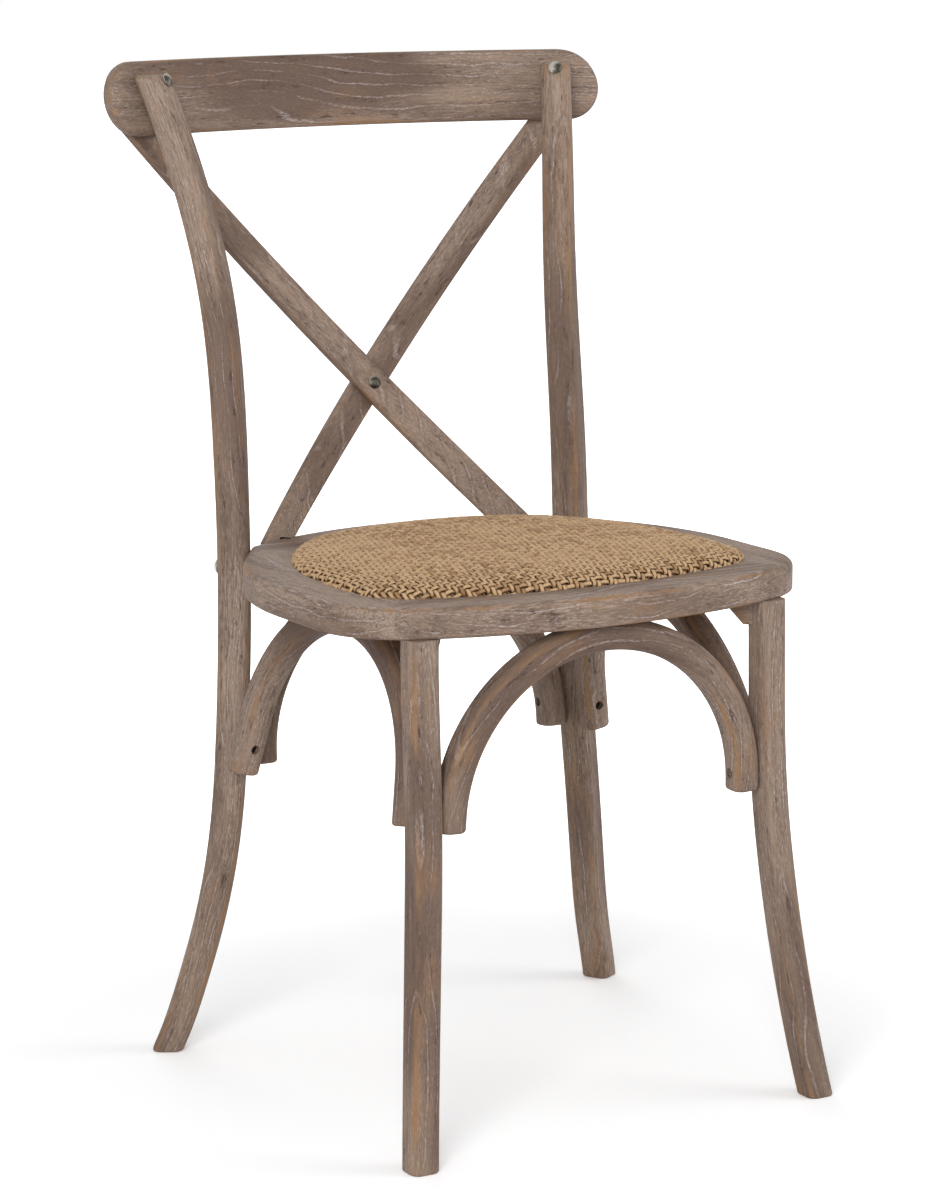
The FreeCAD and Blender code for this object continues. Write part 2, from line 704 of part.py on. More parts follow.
def ring_corners(inset):
    """Right-hand corners of the ring's outline, moved in by inset, from the front to the side."""
    corner_x = s.ring_half_width - s.ring_corner
    joint = s.ring_front_radius - s.ring_corner
    centre = root(joint * joint - corner_x * corner_x) - s.ring_corner_line
    share = (s.ring_front_radius - inset) / joint
    tangent_x = corner_x * share
    tangent_y = centre - (s.ring_corner_line + centre) * share
    side_x = s.ring_half_width - inset
    return tangent_x, tangent_y, side_x


def ear_tangent():
    """Where the straight run to the ear leaves the side's curve without a corner."""
    centre_x = s.ring_half_width - s.ring_side_radius
    x = ear_x - centre_x
    y = ear_y + s.ring_side_line
    square = x * x + y * y
    near = s.ring_side_radius * s.ring_side_radius / square
    off = s.ring_side_radius * root(square - s.ring_side_radius * s.ring_side_radius) / square
    return centre_x + x * near + y * off, y * near - x * off - s.ring_side_line


def outer_outline(sketch):
    front_x, front_y, side_x = ring_corners(0.0)
    flank_x, flank_y = ear_tangent()
    contour(sketch, [
        (-front_x, front_y, s.ring_front_radius), (front_x, front_y, s.ring_corner),
        (side_x, -s.ring_corner_line), (side_x, -s.ring_side_line, s.ring_side_radius),
        (flank_x, flank_y), (ear_x, ear_y, ring_rear_radius),
        (-ear_x, ear_y), (-flank_x, flank_y, s.ring_side_radius),
        (-side_x, -s.ring_side_line), (-side_x, -s.ring_corner_line, s.ring_corner),
    ])


def opening_outline(sketch, inset, scale=1.0):
    """The ring's outline moved in by inset, its rear corners rounded, then scaled about the middle."""
    front_x, front_y, side_x = ring_corners(inset)
    front = s.ring_front_radius - inset
    corner = s.ring_corner - inset
    side = s.ring_side_radius - inset
    rear = ring_rear_radius - inset
    small = s.opening_rear_corner
    side_x0 = s.ring_half_width - s.ring_side_radius
    gap_x = side_x0
    gap_y = ring_rear_centre + s.ring_side_line
    gap = root(gap_x * gap_x + gap_y * gap_y)
    long_side = side - small
    long_rear = rear - small
    along = (long_side * long_side - long_rear * long_rear + gap * gap) / (gap * 2)
    across = root(long_side * long_side - along * along)
    toward_x = -gap_x / gap
    toward_y = gap_y / gap
    centre_x = side_x0 + toward_x * along - toward_y * across
    centre_y = toward_y * along + toward_x * across - s.ring_side_line
    meet_x = side_x0 + (centre_x - side_x0) * (side / long_side)
    meet_y = (centre_y + s.ring_side_line) * (side / long_side) - s.ring_side_line
    rear_x = centre_x * (rear / long_rear)
    rear_y = ring_rear_centre + (centre_y - ring_rear_centre) * (rear / long_rear)
    corners = [
        (-front_x, front_y, front), (front_x, front_y, corner),
        (side_x, -s.ring_corner_line), (side_x, -s.ring_side_line, side),
        (meet_x, meet_y, small), (rear_x, rear_y, rear),
        (-rear_x, rear_y, small), (-meet_x, meet_y, side),
        (-side_x, -s.ring_side_line), (-side_x, -s.ring_corner_line, corner),
    ]
    contour(sketch, [tuple(value * scale for value in corner) for corner in corners])


def pocket(body, sketch, length):
    """Cuts a sketch's outline upwards out of the body."""
    doc.recompute()
    before = body.Tip.Shape.Volume
    feature = body.newObject("PartDesign::Pocket", "Pocket")
    feature.Profile = sketch
    feature.Length = float(length)
    feature.Reversed = True
    bind(feature, "Length", length)
    doc.recompute()
    if feature.Shape.Volume >= before:
        raise RuntimeError(f"{body.Label}: the pocket cuts nothing")
    return feature


def ring_blank():
    body = new_body("seat_ring_blank")
    place(body, 0.0, 0.0, s.seat_underside)
    outline = new_sketch(body, "XY_Plane")
    outer_outline(outline)
    pad(body, outline, s.ring_height)
    height = float(s.ring_height)
    round_edges(body, s.ring_top_round, lambda edge: is_level_at(edge, height))
    round_edges(body, s.ring_low_round, lambda edge: is_level_at(edge, 0.0))
    opening = new_sketch(body, "XY_Plane")
    opening_outline(opening, s.ring_band)
    pocket(body, opening, s.ring_height)
    rebate = new_sketch(body, "XY_Plane")
    opening_outline(rebate, s.ring_band - s.board_lap)
    pocket(body, rebate, s.board_thickness)
    return body


def is_level_at(edge, height):
    box = edge.BoundBox
    return box.ZLength < 1e-4 and abs(box.ZMin - height) < 1e-4


def block(name, corners):
    """A prism through the whole height of the ring, from its corners in plan."""
    body = new_body(name)
    place(body, 0.0, 0.0, s.seat_underside - s.ring_height)
    sketch = new_sketch(body, "XY_Plane")
    contour(sketch, corners)
    pad(body, sketch, s.ring_height * 3)
    return body


def ring_segments(blank):
    hub_x = s.ring_half_width - s.ring_corner
    hub_y = -s.ring_corner_line
    reach = s.ring_half_width
    out_x = hub_x + reach * cosine(s.ring_joint_turn)
    out_y = hub_y - reach * sine(s.ring_joint_turn)
    far = s.ring_half_width * 2
    inner = s.ring_half_width / 3
    joint = s.ring_joint_line
    blocks = {
        "front": [(-hub_x, hub_y), (-out_x, out_y), (out_x, out_y), (hub_x, hub_y)],
        "left": [(-hub_x, hub_y), (-inner, joint), (-far, joint), (-far, out_y), (-out_x, out_y)],
        "right": [(hub_x, hub_y), (out_x, out_y), (far, out_y), (far, joint), (inner, joint)],
        "rear": [(far, joint), (far, far), (-far, far), (-far, joint)],
    }
    return {
        name: common(f"ring_{name}_blank", blank, block(f"ring_{name}_block", corners))
        for name, corners in blocks.items()
    }


ring = ring_segments(ring_blank())

# Board under the weave, let into the ring from below, and the woven seat as one closed crowned solid
CROWN = ((1.0, 0.0), (0.965, 0.42), (0.89, 0.68), (0.75, 0.87), (0.5, 0.97), (0.22, 1.0))


def seat_board():
    body = new_body("seat_board_blank")
    place(body, 0.0, 0.0, s.seat_underside)
    sketch = new_sketch(body, "XY_Plane")
    opening_outline(sketch, s.ring_band - s.board_lap + s.board_gap)
    pad(body, sketch, s.board_thickness)
    return body


def rattan_seat():
    body = new_body("rattan_seat")
    place(body, 0.0, 0.0, board_top)
    base = new_sketch(body, "XY_Plane")
    opening_outline(base, s.ring_band + s.pad_gap)
    wall = s.ring_height - s.board_thickness + s.pad_edge_rise
    pad(body, base, wall)
    sketches = []
    for scale, share in CROWN:
        height = wall + (s.pad_crown - s.pad_edge_rise) * share
        sketch = new_sketch(body, "XY_Plane", 0.0, 0.0, height)
        opening_outline(sketch, s.ring_band + s.pad_gap, scale)
        sketches.append(sketch)
    loft(body, sketches)
    return body


board = seat_board()
weave = rattan_seat()

# Bent arches: a near half round whose two straight ends spread a little, drawn upright about the
# middle of the round


class Arch:
    """One arch's own frame: its middle, its turn about Z and its tilt, with its size and ends."""

    def __init__(self, name, x, y, turn, tilt, radius, splay, feet):
        self.name = name
        self.x = x
        self.y = y
        self.radius = radius
        self.splay = splay
        self.turn = FreeCAD.Rotation(V(0, 0, 1), float(turn)) * FreeCAD.Rotation(V(1, 0, 0), float(tilt))
        self.upright = cosine(tilt)
        corner = s.arch_section / 2 - s.arch_round
        reach = corner * (cosine(tilt) + Size(abs(float(sine(tilt))), f"abs({sine(tilt).text})"))
        crown = s.seat_underside - reach - s.arch_round + s.arch_crown_flat
        self.middle = crown - radius * self.upright
        self.drops = [(self.middle - foot) / self.upright for foot in feet]

    def place(self, body):
        place(body, self.x, self.y, self.middle, self.turn)

    def point(self, x, z):
        """A point of the arch's own plane, seen from the middle of the seat."""
        middle = V(float(self.x), float(self.y), float(self.middle))
        return middle + self.turn.multVec(V(float(x), 0, float(z)))

    def way(self, x, z):
        return self.turn.multVec(V(x, 0, z))

    def side_at(self, z):
        """How far from the middle the straight ends' middle line lies, at a height z in the plane."""
        shoulder = self.radius * sine(self.splay)
        return self.radius * cosine(self.splay) + (shoulder - z) * tangent(self.splay)

    def blank(self):
        body = new_body(f"{self.name}_blank")
        self.place(body)
        path = new_sketch(body, "XZ_Plane")
        shoulder = self.radius * sine(self.splay)
        reach = self.radius * cosine(self.splay)
        lows = [-drop for drop in self.drops]
        feet = [V(float(self.side_at(low)) * way, float(low), 0) for low, way in zip(lows, (1, -1))]
        tops = [V(float(reach) * way, float(shoulder), 0) for way in (1, -1)]
        start = math.radians(float(self.splay))
        round_part = Part.Circle(V(0, 0, 0), V(0, 0, 1), float(self.radius))
        path.addGeometry(Part.LineSegment(feet[0], tops[0]))
        path.addGeometry(Part.ArcOfCircle(round_part, start, math.pi - start))
        path.addGeometry(Part.LineSegment(tops[1], feet[1]))
        path.addConstraint(Sketcher.Constraint("Coincident", 1, 3, -1, 1))
        path.addConstraint(Sketcher.Constraint("Coincident", 0, 2, 1, 1))
        path.addConstraint(Sketcher.Constraint("Coincident", 1, 2, 2, 1))
        datum(path, "Radius", (1,), self.radius)
        datum(path, "DistanceY", (-1, 1, 1, 1), shoulder)
        datum(path, "DistanceY", (-1, 1, 1, 2), shoulder)
        datum(path, "DistanceX", (-1, 1, 0, 1), self.side_at(lows[0]))
        datum(path, "DistanceY", (-1, 1, 0, 1), lows[0])
        datum(path, "DistanceX", (-1, 1, 2, 2), -self.side_at(lows[1]))
        datum(path, "DistanceY", (-1, 1, 2, 2), lows[1])
        square = FreeCAD.Rotation(V(0, 1, 0), -float(self.splay))
        profile = new_sketch(body, "XY_Plane", self.side_at(lows[0]), 0.0, lows[0], square)
        rounded_square(profile, s.arch_section, s.arch_section, s.arch_round)
        feature = body.newObject("PartDesign::AdditivePipe", "Pipe")
        feature.Profile = profile
        feature.Spine = (path, [])
        doc.recompute()
        ends = feature.Shape.Faces
        rims = [edge for face in ends if is_arch_end(face) for edge in face.Edges]
        round_edges(body, s.arch_foot_round, lambda edge: any(edge.isSame(rim) for rim in rims))
        return body

    def end_screws(self):
        """Screws in the two ends, with the heads sunk into the inner faces."""
        height = (s.arch_screw_height - self.middle) / self.upright
        seat = self.side_at(height) - s.arch_section / 2 + s.counterbore_depth
        screws = []
        holes = []
        for side in (-1, 1):
            point = self.point(seat * side, height)
            inwards = self.way(-side, 0)
            screw = wood_screw(f"{self.name}_screw", s.arch_screw_length)
            screws.append(set_fastener(screw, point, inwards))
            hole = plain_rod(f"{self.name}_counterbore", s.counterbore, s.counterbore_depth * 2)
            holes.append(set_fastener(hole, point, inwards, s.counterbore_depth * 2))
        return screws, holes

    def crown_screw(self):
        """A screw up through the crown, with its head sunk into the underside."""
        seat = self.radius - s.arch_section / 2 + s.counterbore_depth
        point = self.point(0.0, seat)
        down = self.way(0, -1)
        screw = wood_screw(f"{self.name}_crown_screw", s.crown_screw_length)
        set_fastener(screw, point, down)
        hole = plain_rod(f"{self.name}_counterbore", s.counterbore, s.counterbore_depth * 2)
        set_fastener(hole, point, down, s.counterbore_depth * 2)
        return screw, hole


def is_arch_end(face):
    """True for the two flat ends of an arch, before they are rounded."""
    flat = isinstance(face.Surface, Part.Plane)
    return flat and abs(face.normalAt(0, 0).z) > 0.9


side_feet = (s.side_arch_front_foot, s.side_arch_rear_foot)
ARCHES = {
    "front": Arch("arch_front", 0.0, -s.front_arch_y, 0.0, s.front_arch_tilt, s.front_arch_radius,
                  s.front_arch_splay, [s.front_arch_foot] * 2),
    "rear": Arch("arch_rear", 0.0, s.rear_arch_y, 0.0, -s.rear_arch_tilt, s.rear_arch_radius,
                 s.rear_arch_splay, [s.rear_arch_foot] * 2),
    "left": Arch("arch_left", -s.side_arch_x, -s.side_arch_y, 90 + s.side_arch_turn, s.side_arch_tilt,
                 s.side_arch_radius, s.side_arch_splay, side_feet[::-1]),
    "right": Arch("arch_right", s.side_arch_x, -s.side_arch_y, -(90 + s.side_arch_turn),
                  s.side_arch_tilt, s.side_arch_radius, s.side_arch_splay, side_feet),
}
ARCH_SUPPORTS = {
    "front": (legs["left"], legs["right"]),
    "rear": (posts["left"], posts["right"]),
    "left": (legs["left"], posts["left"]),
    "right": (legs["right"], posts["right"]),
}

# Corner brackets under the ring, one at each leg and post. The shares say where their two screws
# enter the sloping face.
GUSSET_UP_SHARE = 0.75
GUSSET_LEVEL_SHARE = 0.62


def gusset(name, x, y, angle, reach):
    """A three-cornered bracket that runs from a leg's middle along an angle in plan, in degrees."""
    body = new_body(f"{name}_blank")
    place(body, x, y, s.seat_underside, FreeCAD.Rotation(V(0, 0, 1), float(angle)))
    sketch = new_sketch(body, "XZ_Plane")
    face = s.leg_section / 2
    contour(sketch, [
        (0, 0), (0, -s.gusset_drop), (face + s.gusset_heel, -s.gusset_drop),
        (reach, -s.gusset_tip), (reach, 0),
    ])
    pad(body, sketch, s.gusset_thickness, midplane=True)
    return body


leg_angle = math.atan2(float(s.leg_y), float(s.leg_x))
ear_angle = math.radians(float(s.post_low_turn))
GUSSETS = {
    "front_left": (legs["left"], leg_point(s.seat_underside, -1), leg_angle, s.front_gusset_reach),
    "front_right": (legs["right"], leg_point(s.seat_underside, 1), math.pi - leg_angle,
                    s.front_gusset_reach),
    "rear_left": (posts["left"], post_point(s.seat_underside, -1), -ear_angle, s.rear_gusset_reach),
    "rear_right": (posts["right"], post_point(s.seat_underside, 1), math.pi + ear_angle,
                   s.rear_gusset_reach),
}


def gusset_screws(name, x, y, angle, reach):
    """One screw up into the ring and one level into the leg, their heads on the sloping face."""
    way = V(math.cos(angle), math.sin(angle), 0)
    middle = V(float(x), float(y), float(s.seat_underside))
    heel = float(s.leg_section / 2 + s.gusset_heel)
    slope = float(reach) - heel
    drop = float(s.gusset_drop)
    up_out = heel + slope * GUSSET_UP_SHARE
    up_depth = drop * (1 - GUSSET_UP_SHARE) - float(s.screw_head_height)
    level_down = drop * GUSSET_LEVEL_SHARE
    level_out = heel + slope * (1 - GUSSET_LEVEL_SHARE) - float(s.screw_head_height)
    spots = [
        (middle + way * up_out - V(0, 0, up_depth), V(0, 0, -1)),
        (middle + way * level_out - V(0, 0, level_down), way),
    ]
    screws = []
    holes = []
    for point, direction in spots:
        screw = wood_screw(f"{name}_screw", s.gusset_screw_length)
        screws.append(set_fastener(screw, point, direction))
        hole = plain_rod(f"{name}_screw_hole", s.counterbore, s.counterbore_depth)
        holes.append(set_fastener(hole, point, direction, s.counterbore_depth))
    return screws, holes


# Fasteners and dowels in their places


def post_bolts():
    """Dome bolts through the posts: into the crest rail at the top and into the ring's ears."""
    crest_bolts, crest_inserts, seat_bolts, seat_inserts = [], [], [], []
    for name, side in SIDES:
        height = float(s.crest_bolt_height)
        angle = math.radians(post_turn(height, side)) + (math.pi if side > 0 else 0.0)
        way = post_way(height, side)
        level = V(math.cos(angle), math.sin(angle), 0)
        front = (level - way * level.dot(way)).normalize()
        half = width_of_post(height) / 2
        point = post_spot(height, side) + front * half
        bolt = dome_bolt(f"crest_bolt_{name}", s.crest_bolt_length)
        crest_bolts.append(set_fastener(bolt, point, front))
        insert = sleeve(f"crest_insert_{name}", s.insert_length)
        crest_inserts.append(set_fastener(insert, point, front, s.insert_length - s.crest_bolt_length))
        height = float(s.seat_bolt_height)
        angle = math.radians(post_turn(height, side)) + (0.0 if side > 0 else math.pi)
        outward = V(math.cos(angle), math.sin(angle), 0)
        point = post_spot(height, side) + outward * (width_of_post(height) / 2)
        bolt = dome_bolt(f"seat_bolt_{name}", s.seat_bolt_length)
        seat_bolts.append(set_fastener(bolt, point, outward))
        insert = sleeve(f"seat_insert_{name}", s.insert_length)
        seat_inserts.append(set_fastener(insert, point, outward, s.insert_length - s.seat_bolt_length))
    return crest_bolts, crest_inserts, seat_bolts, seat_inserts


def width_of_post(height):
    share = (height - float(s.foot_round)) / float(s.post_top - s.post_top_round - s.foot_round)
    slimmer = abs(share - POST_FULL_SHARE) / POST_FULL_SHARE
    return float(s.post_section) - float(s.post_section - s.post_end_section) * slimmer


def crossing_bolt():
    """A dome bolt through the crossing of the slats, with a cap nut behind."""
    point, turn = slat_station(s.slat_cross_height, -1, -1)
    front = turn.multVec(V(0, -1, 0))
    bolt = dome_bolt("cross_bolt", s.cross_bolt_length)
    set_fastener(bolt, point, front, s.slat_thickness / 2)
    outer = s.nut_width / 2
    inner = s.bolt_shank / 2
    nut = turned("cap_nut", [(inner, 0), (outer, 0), (outer, s.nut_height), (inner, s.nut_height)])
    set_fastener(nut, point, -front, s.slat_thickness + s.slat_thickness / 2)
    return bolt, nut


def slat_screws():
    """Screws from behind through the slat ends into the crest rail and the ring."""
    screws = []
    for way, layer in ((-1, -1), (1, 1)):
        for height in (s.slat_top - s.slat_screw_inset, s.slat_foot + s.slat_screw_inset):
            point, turn = slat_station(height, way, layer)
            behind = turn.multVec(V(0, 1, 0))
            shift = s.slat_thickness / 2 - s.screw_head_height
            screw = wood_screw("slat_screw", s.slat_screw_length)
            screws.append(set_fastener(screw, point, behind, shift))
    return screws


def ring_dowels():
    """Two dowels, one over the other, across each joint of the ring."""
    mid_band = (s.ring_band - s.board_lap) / 2
    radius = s.ring_corner - mid_band
    turn = math.radians(float(s.ring_joint_turn))
    flank_x, flank_y = ear_tangent()
    lean = (flank_x - ear_x) / (ear_y - flank_y)
    joint_x = flank_x - lean * (s.ring_joint_line - flank_y) - mid_band * root(1 + lean * lean)
    dowels = []
    for side in (-1, 1):
        hub_x = float(s.ring_half_width - s.ring_corner)
        front = V(
            side * (hub_x + float(radius) * math.cos(turn)),
            -float(s.ring_corner_line) - float(radius) * math.sin(turn), float(ring_middle))
        rear = V(side * float(joint_x), float(s.ring_joint_line), float(ring_middle))
        spots = ((front, V(side * math.sin(turn), math.cos(turn), 0)), (rear, V(0, 1, 0)))
        for middle, way in spots:
            for level in (-1, 1):
                lift = V(0, 0, level * float(s.dowel_spacing) / 2)
                dowel = plain_rod("ring_dowel", s.dowel_diameter, s.dowel_length)
                dowels.append(set_fastener(dowel, middle + lift, way, s.dowel_length / 2))
    return dowels


crest_bolts, crest_inserts, seat_bolts, seat_inserts = post_bolts()
cross_bolt, cross_nut = crossing_bolt()

end_screws, end_holes, crown_screws, crown_holes = [], {}, [], {}
for name, arch in ARCHES.items():
    screws, holes = arch.end_screws()
    end_screws.extend(screws)
    end_holes[name] = holes
    screw, hole = arch.crown_screw()
    crown_screws.append(screw)
    crown_holes[name] = hole

bracket_screws, bracket_holes = [], {}
for name, (support, (x, y), angle, reach) in GUSSETS.items():
    screws, holes = gusset_screws(f"corner_gusset_{name}", x, y, angle, reach)
    bracket_screws.extend(screws)
    bracket_holes[name] = holes

HARDWARE = {
    "crest_bolts": group("crest_bolts", crest_bolts),
    "crest_inserts": group("crest_inserts", crest_inserts),
    "seat_bolts": group("seat_bolts", seat_bolts),
    "seat_inserts": group("seat_inserts", seat_inserts),
    "slat_screws": group("slat_screws", slat_screws()),
    "arch_end_screws": group("arch_end_screws", end_screws),
    "arch_crown_screws": group("arch_crown_screws", crown_screws),
    "gusset_screws": group("gusset_screws", bracket_screws),
    "ring_dowels": group("ring_dowels", ring_dowels()),
}

# Joinery: each piece is cut to its neighbours and to the fasteners that pass through it

nodes = list(HARDWARE.values()) + [cross_bolt, weave]
crest_hardware = (HARDWARE["crest_bolts"], HARDWARE["crest_inserts"])
seat_hardware = (HARDWARE["seat_bolts"], HARDWARE["seat_inserts"])
above_seat = flat_box("above_seat", 0.0, 0.0, s.seat_underside)

for name, side in SIDES:
    nodes.append(cut(f"front_leg_{name}", legs[name], HARDWARE["arch_end_screws"], HARDWARE["gusset_screws"]))
    fixings = (HARDWARE["crest_bolts"], HARDWARE["seat_bolts"], HARDWARE["arch_end_screws"],
               HARDWARE["gusset_screws"])
    nodes.append(cut(f"rear_post_{name}", posts[name], *fixings))

nodes.append(cut("cross_nut", cross_nut, cross_bolt))
slat_hardware = (HARDWARE["slat_screws"], cross_bolt)
nodes.append(cut("cross_slat_front", front_slat, *slat_hardware))
nodes.append(cut("cross_slat_back", back_slat, front_slat, *slat_hardware))
nodes.append(cut("crest_rail", crest, posts["left"], posts["right"], front_slat, back_slat,
                 HARDWARE["slat_screws"], *crest_hardware))

RING_NEIGHBOURS = {
    "front": (legs["left"], legs["right"]),
    "left": (legs["left"], posts["left"]),
    "right": (legs["right"], posts["right"]),
    "rear": (posts["left"], posts["right"], front_slat, back_slat, HARDWARE["slat_screws"]),
}
for name, blank in ring.items():
    fixings = (HARDWARE["ring_dowels"], HARDWARE["gusset_screws"], HARDWARE["arch_crown_screws"])
    if name == "rear":
        fixings = fixings + seat_hardware
    nodes.append(cut(f"ring_{name}", blank, *RING_NEIGHBOURS[name], *fixings))
nodes.append(cut("seat_board", board, HARDWARE["arch_crown_screws"], HARDWARE["gusset_screws"]))

for name, arch in ARCHES.items():
    tools = (above_seat, *ARCH_SUPPORTS[name], *end_holes[name], crown_holes[name],
             HARDWARE["arch_end_screws"], HARDWARE["arch_crown_screws"])
    nodes.append(cut(arch.name, arch.blank(), *tools))

for name, (support, (x, y), angle, reach) in GUSSETS.items():
    blank = gusset(f"corner_gusset_{name}", x, y, math.degrees(angle), reach)
    tools = (support, *bracket_holes[name], HARDWARE["gusset_screws"])
    nodes.append(cut(f"corner_gusset_{name}", blank, *tools))

doc.recompute()

# Every object and every piece is checked before anything is written

failed = [thing.Label for thing in doc.Objects if {"Invalid", "Error"} & set(thing.State)]
if failed:
    raise RuntimeError(f"failed objects: {failed}")
for node in nodes:
    if node.Shape.isNull() or not node.Shape.isValid() or not node.Shape.Solids:
        raise RuntimeError(f"{node.Label} has no valid solid")

os.makedirs("parts", exist_ok=True)
for node in nodes:
    node.Shape.exportStep(f"parts/{node.Label}.step")
    print(node.Label, len(node.Shape.Solids), "solids", round(node.Shape.Volume), "cubic mm")
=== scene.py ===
import math
import random

import bpy
import numpy as np
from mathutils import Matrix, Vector


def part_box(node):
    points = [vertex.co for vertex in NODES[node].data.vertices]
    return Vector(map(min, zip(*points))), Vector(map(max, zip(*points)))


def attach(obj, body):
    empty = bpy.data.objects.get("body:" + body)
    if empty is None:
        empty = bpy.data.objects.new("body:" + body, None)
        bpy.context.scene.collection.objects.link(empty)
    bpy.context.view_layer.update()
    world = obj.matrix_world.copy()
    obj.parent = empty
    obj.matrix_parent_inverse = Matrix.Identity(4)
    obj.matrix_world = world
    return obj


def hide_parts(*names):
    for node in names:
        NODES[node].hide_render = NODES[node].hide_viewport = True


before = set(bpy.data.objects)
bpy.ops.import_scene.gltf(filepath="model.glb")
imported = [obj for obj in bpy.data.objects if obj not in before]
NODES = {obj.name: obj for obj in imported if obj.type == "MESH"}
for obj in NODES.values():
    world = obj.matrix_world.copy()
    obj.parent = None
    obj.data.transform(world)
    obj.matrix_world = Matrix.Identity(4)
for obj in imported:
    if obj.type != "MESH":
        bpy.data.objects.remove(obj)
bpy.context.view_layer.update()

bl_info = {
    "name": "Cross back chair",
    "version": (1, 0, 0),
    "blender": (4, 5, 0),
    "location": "3D View > Sidebar > Chair",
    "description": "Finishes a cross back dining chair in limed wood with a woven rattan seat",
    "category": "Object",
}

# Metres. Z is up and the sitter faces -Y. The origin lies on the floor under the chair's middle.
SEAT_LOW, SEAT_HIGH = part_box("rattan_seat")
RING_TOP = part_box("ring_front")[1].z
SIDES = (("left", -1), ("right", 1))


def tone(code):
    """A colour as it looks on screen, such as "8f7b6c", as the linear numbers that shaders use."""
    parts = [int(code[at:at + 2], 16) / 255 for at in (0, 2, 4)]
    linear = [part / 12.92 if part <= 0.04045 else ((part + 0.055) / 1.055) ** 2.4 for part in parts]
    return (*linear, 1.0)


def scaled(colour, share):
    """A darker or paler colour of the same hue."""
    return (*(part * share for part in colour[:3]), 1.0)


# Fields: numbers that vary over a surface, written as formulas and made of shader nodes


class Field:
    """A number that varies over a surface."""

    def __init__(self, graph, socket):
        self.graph = graph
        self.socket = socket

    def math(self, operation, *others, flip=False):
        node = self.graph.add("Math", operation=operation)
        terms = [self, *others]
        for socket, term in zip(node.inputs, terms[::-1] if flip else terms):
            self.graph.plug(socket, term)
        return Field(self.graph, node.outputs[0])

    def __add__(self, other):
        return self.math("ADD", other)

    def __sub__(self, other):
        return self.math("SUBTRACT", other)

    def __rsub__(self, other):
        return self.math("SUBTRACT", other, flip=True)

    def __mul__(self, other):
        return self.math("MULTIPLY", other)

    def __truediv__(self, other):
        return self.math("DIVIDE", other)

    def __pow__(self, other):
        return self.math("POWER", other)

    def __abs__(self):
        return self.math("ABSOLUTE")

    __radd__ = __add__
    __rmul__ = __mul__

    def above(self, other):
        return self.math("MAXIMUM", other)

    def below(self, other):
        return self.math("MINIMUM", other)

    def step(self, low, high):
        """0 below low, 1 above high, and an even slope with soft ends in between."""
        node = self.graph.add("MapRange", interpolation_type="SMOOTHSTEP")
        for name, value in (("Value", self), ("From Min", low), ("From Max", high)):
            self.graph.plug(node.inputs[name], value)
        return Field(self.graph, node.outputs[0])


def length(*parts):
    """The length of a vector from its parts."""
    total = parts[0] * parts[0]
    for part in parts[1:]:
        total = total + part * part
    return total.math("SQRT")


class Graph:
    """A material's nodes, added one after another."""

    def __init__(self, name):
        self.material = bpy.data.materials.new(name)
        self.material.use_nodes = True
        self.tree = self.material.node_tree
        self.tree.nodes.clear()

    def add(self, kind, **settings):
        node = self.tree.nodes.new("ShaderNode" + kind)
        for name, value in settings.items():
            setattr(node, name, value)
        return node

    def plug(self, socket, value):
        if isinstance(value, Field):
            value = value.socket
        if isinstance(value, bpy.types.NodeSocket):
            self.tree.links.new(value, socket)
        else:
            socket.default_value = value

    def split(self, socket):
        node = self.add("SeparateXYZ")
        self.plug(node.inputs[0], socket)
        return [Field(self, output) for output in node.outputs]

    def point(self):
        """The place on the surface, in metres, in the chair's frame."""
        return self.split(self.add("TexCoord").outputs["Object"])

    def facing(self):
        """The direction that the surface faces, in the chair's frame."""
        return self.split(self.add("TexCoord").outputs["Normal"])

    def attribute(self, name):
        node = self.add("Attribute", attribute_name=name)
        return Field(self, node.outputs["Fac"])

    def joined(self, *parts):
        node = self.add("CombineXYZ")
        for socket, part in zip(node.inputs, parts):
            self.plug(socket, part)
        return node.outputs[0]

    def noise(self, parts, detail=2.0, roughness=0.5, distortion=0.0):
        """Soft noise about 0.5, whose three coordinates count its blobs."""
        node = self.add("TexNoise")
        values = {"Vector": self.joined(*parts), "Scale": 1.0, "Detail": detail,
                  "Roughness": roughness, "Distortion": distortion}
        for name, value in values.items():
            self.plug(node.inputs[name], value)
        return Field(self, node.outputs[0])

    def blend(self, share, low, high, mode="MIX"):
        """A colour between low and high."""
        node = self.add("Mix", data_type="RGBA", blend_type=mode)
        for index, value in ((0, share), (6, low), (7, high)):
            self.plug(node.inputs[index], value)
        return node.outputs[2]

    def bump(self, height, distance, strength=1.0):
        node = self.add("Bump")
        for name, value in (("Height", height), ("Distance", distance), ("Strength", strength)):
            self.plug(node.inputs[name], value)
        return node.outputs[0]

    def surface(self, **values):
        """The shader at the end, with its sockets set by name."""
        shader = self.add("BsdfPrincipled")
        for name, value in values.items():
            self.plug(shader.inputs[name.replace("_", " ")], value)
        output = self.add("OutputMaterial")
        self.tree.links.new(shader.outputs[0], output.inputs[0])
        return self.material


# How the grain runs through each piece: along it, across it, through it, and where its corners are.
# The bends are those of the pieces themselves.
SEAT_SET_BACK = 0.0416
LEG_X, LEG_Y = 0.170, -0.161 - SEAT_SET_BACK
POST_X, POST_Y = 0.1733, 0.1585 - SEAT_SET_BACK
CREST_Y, CREST_Z = 0.288 - SEAT_SET_BACK, 0.845
CREST_RADIUS, CREST_LEAN = 0.72, math.radians(16.7)
SLAT_CROSS_Z, SLAT_SLANT = 0.5836, math.radians(42.8)
POST_LOW_TURN, POST_TOP_TURN = math.radians(30), math.radians(58)
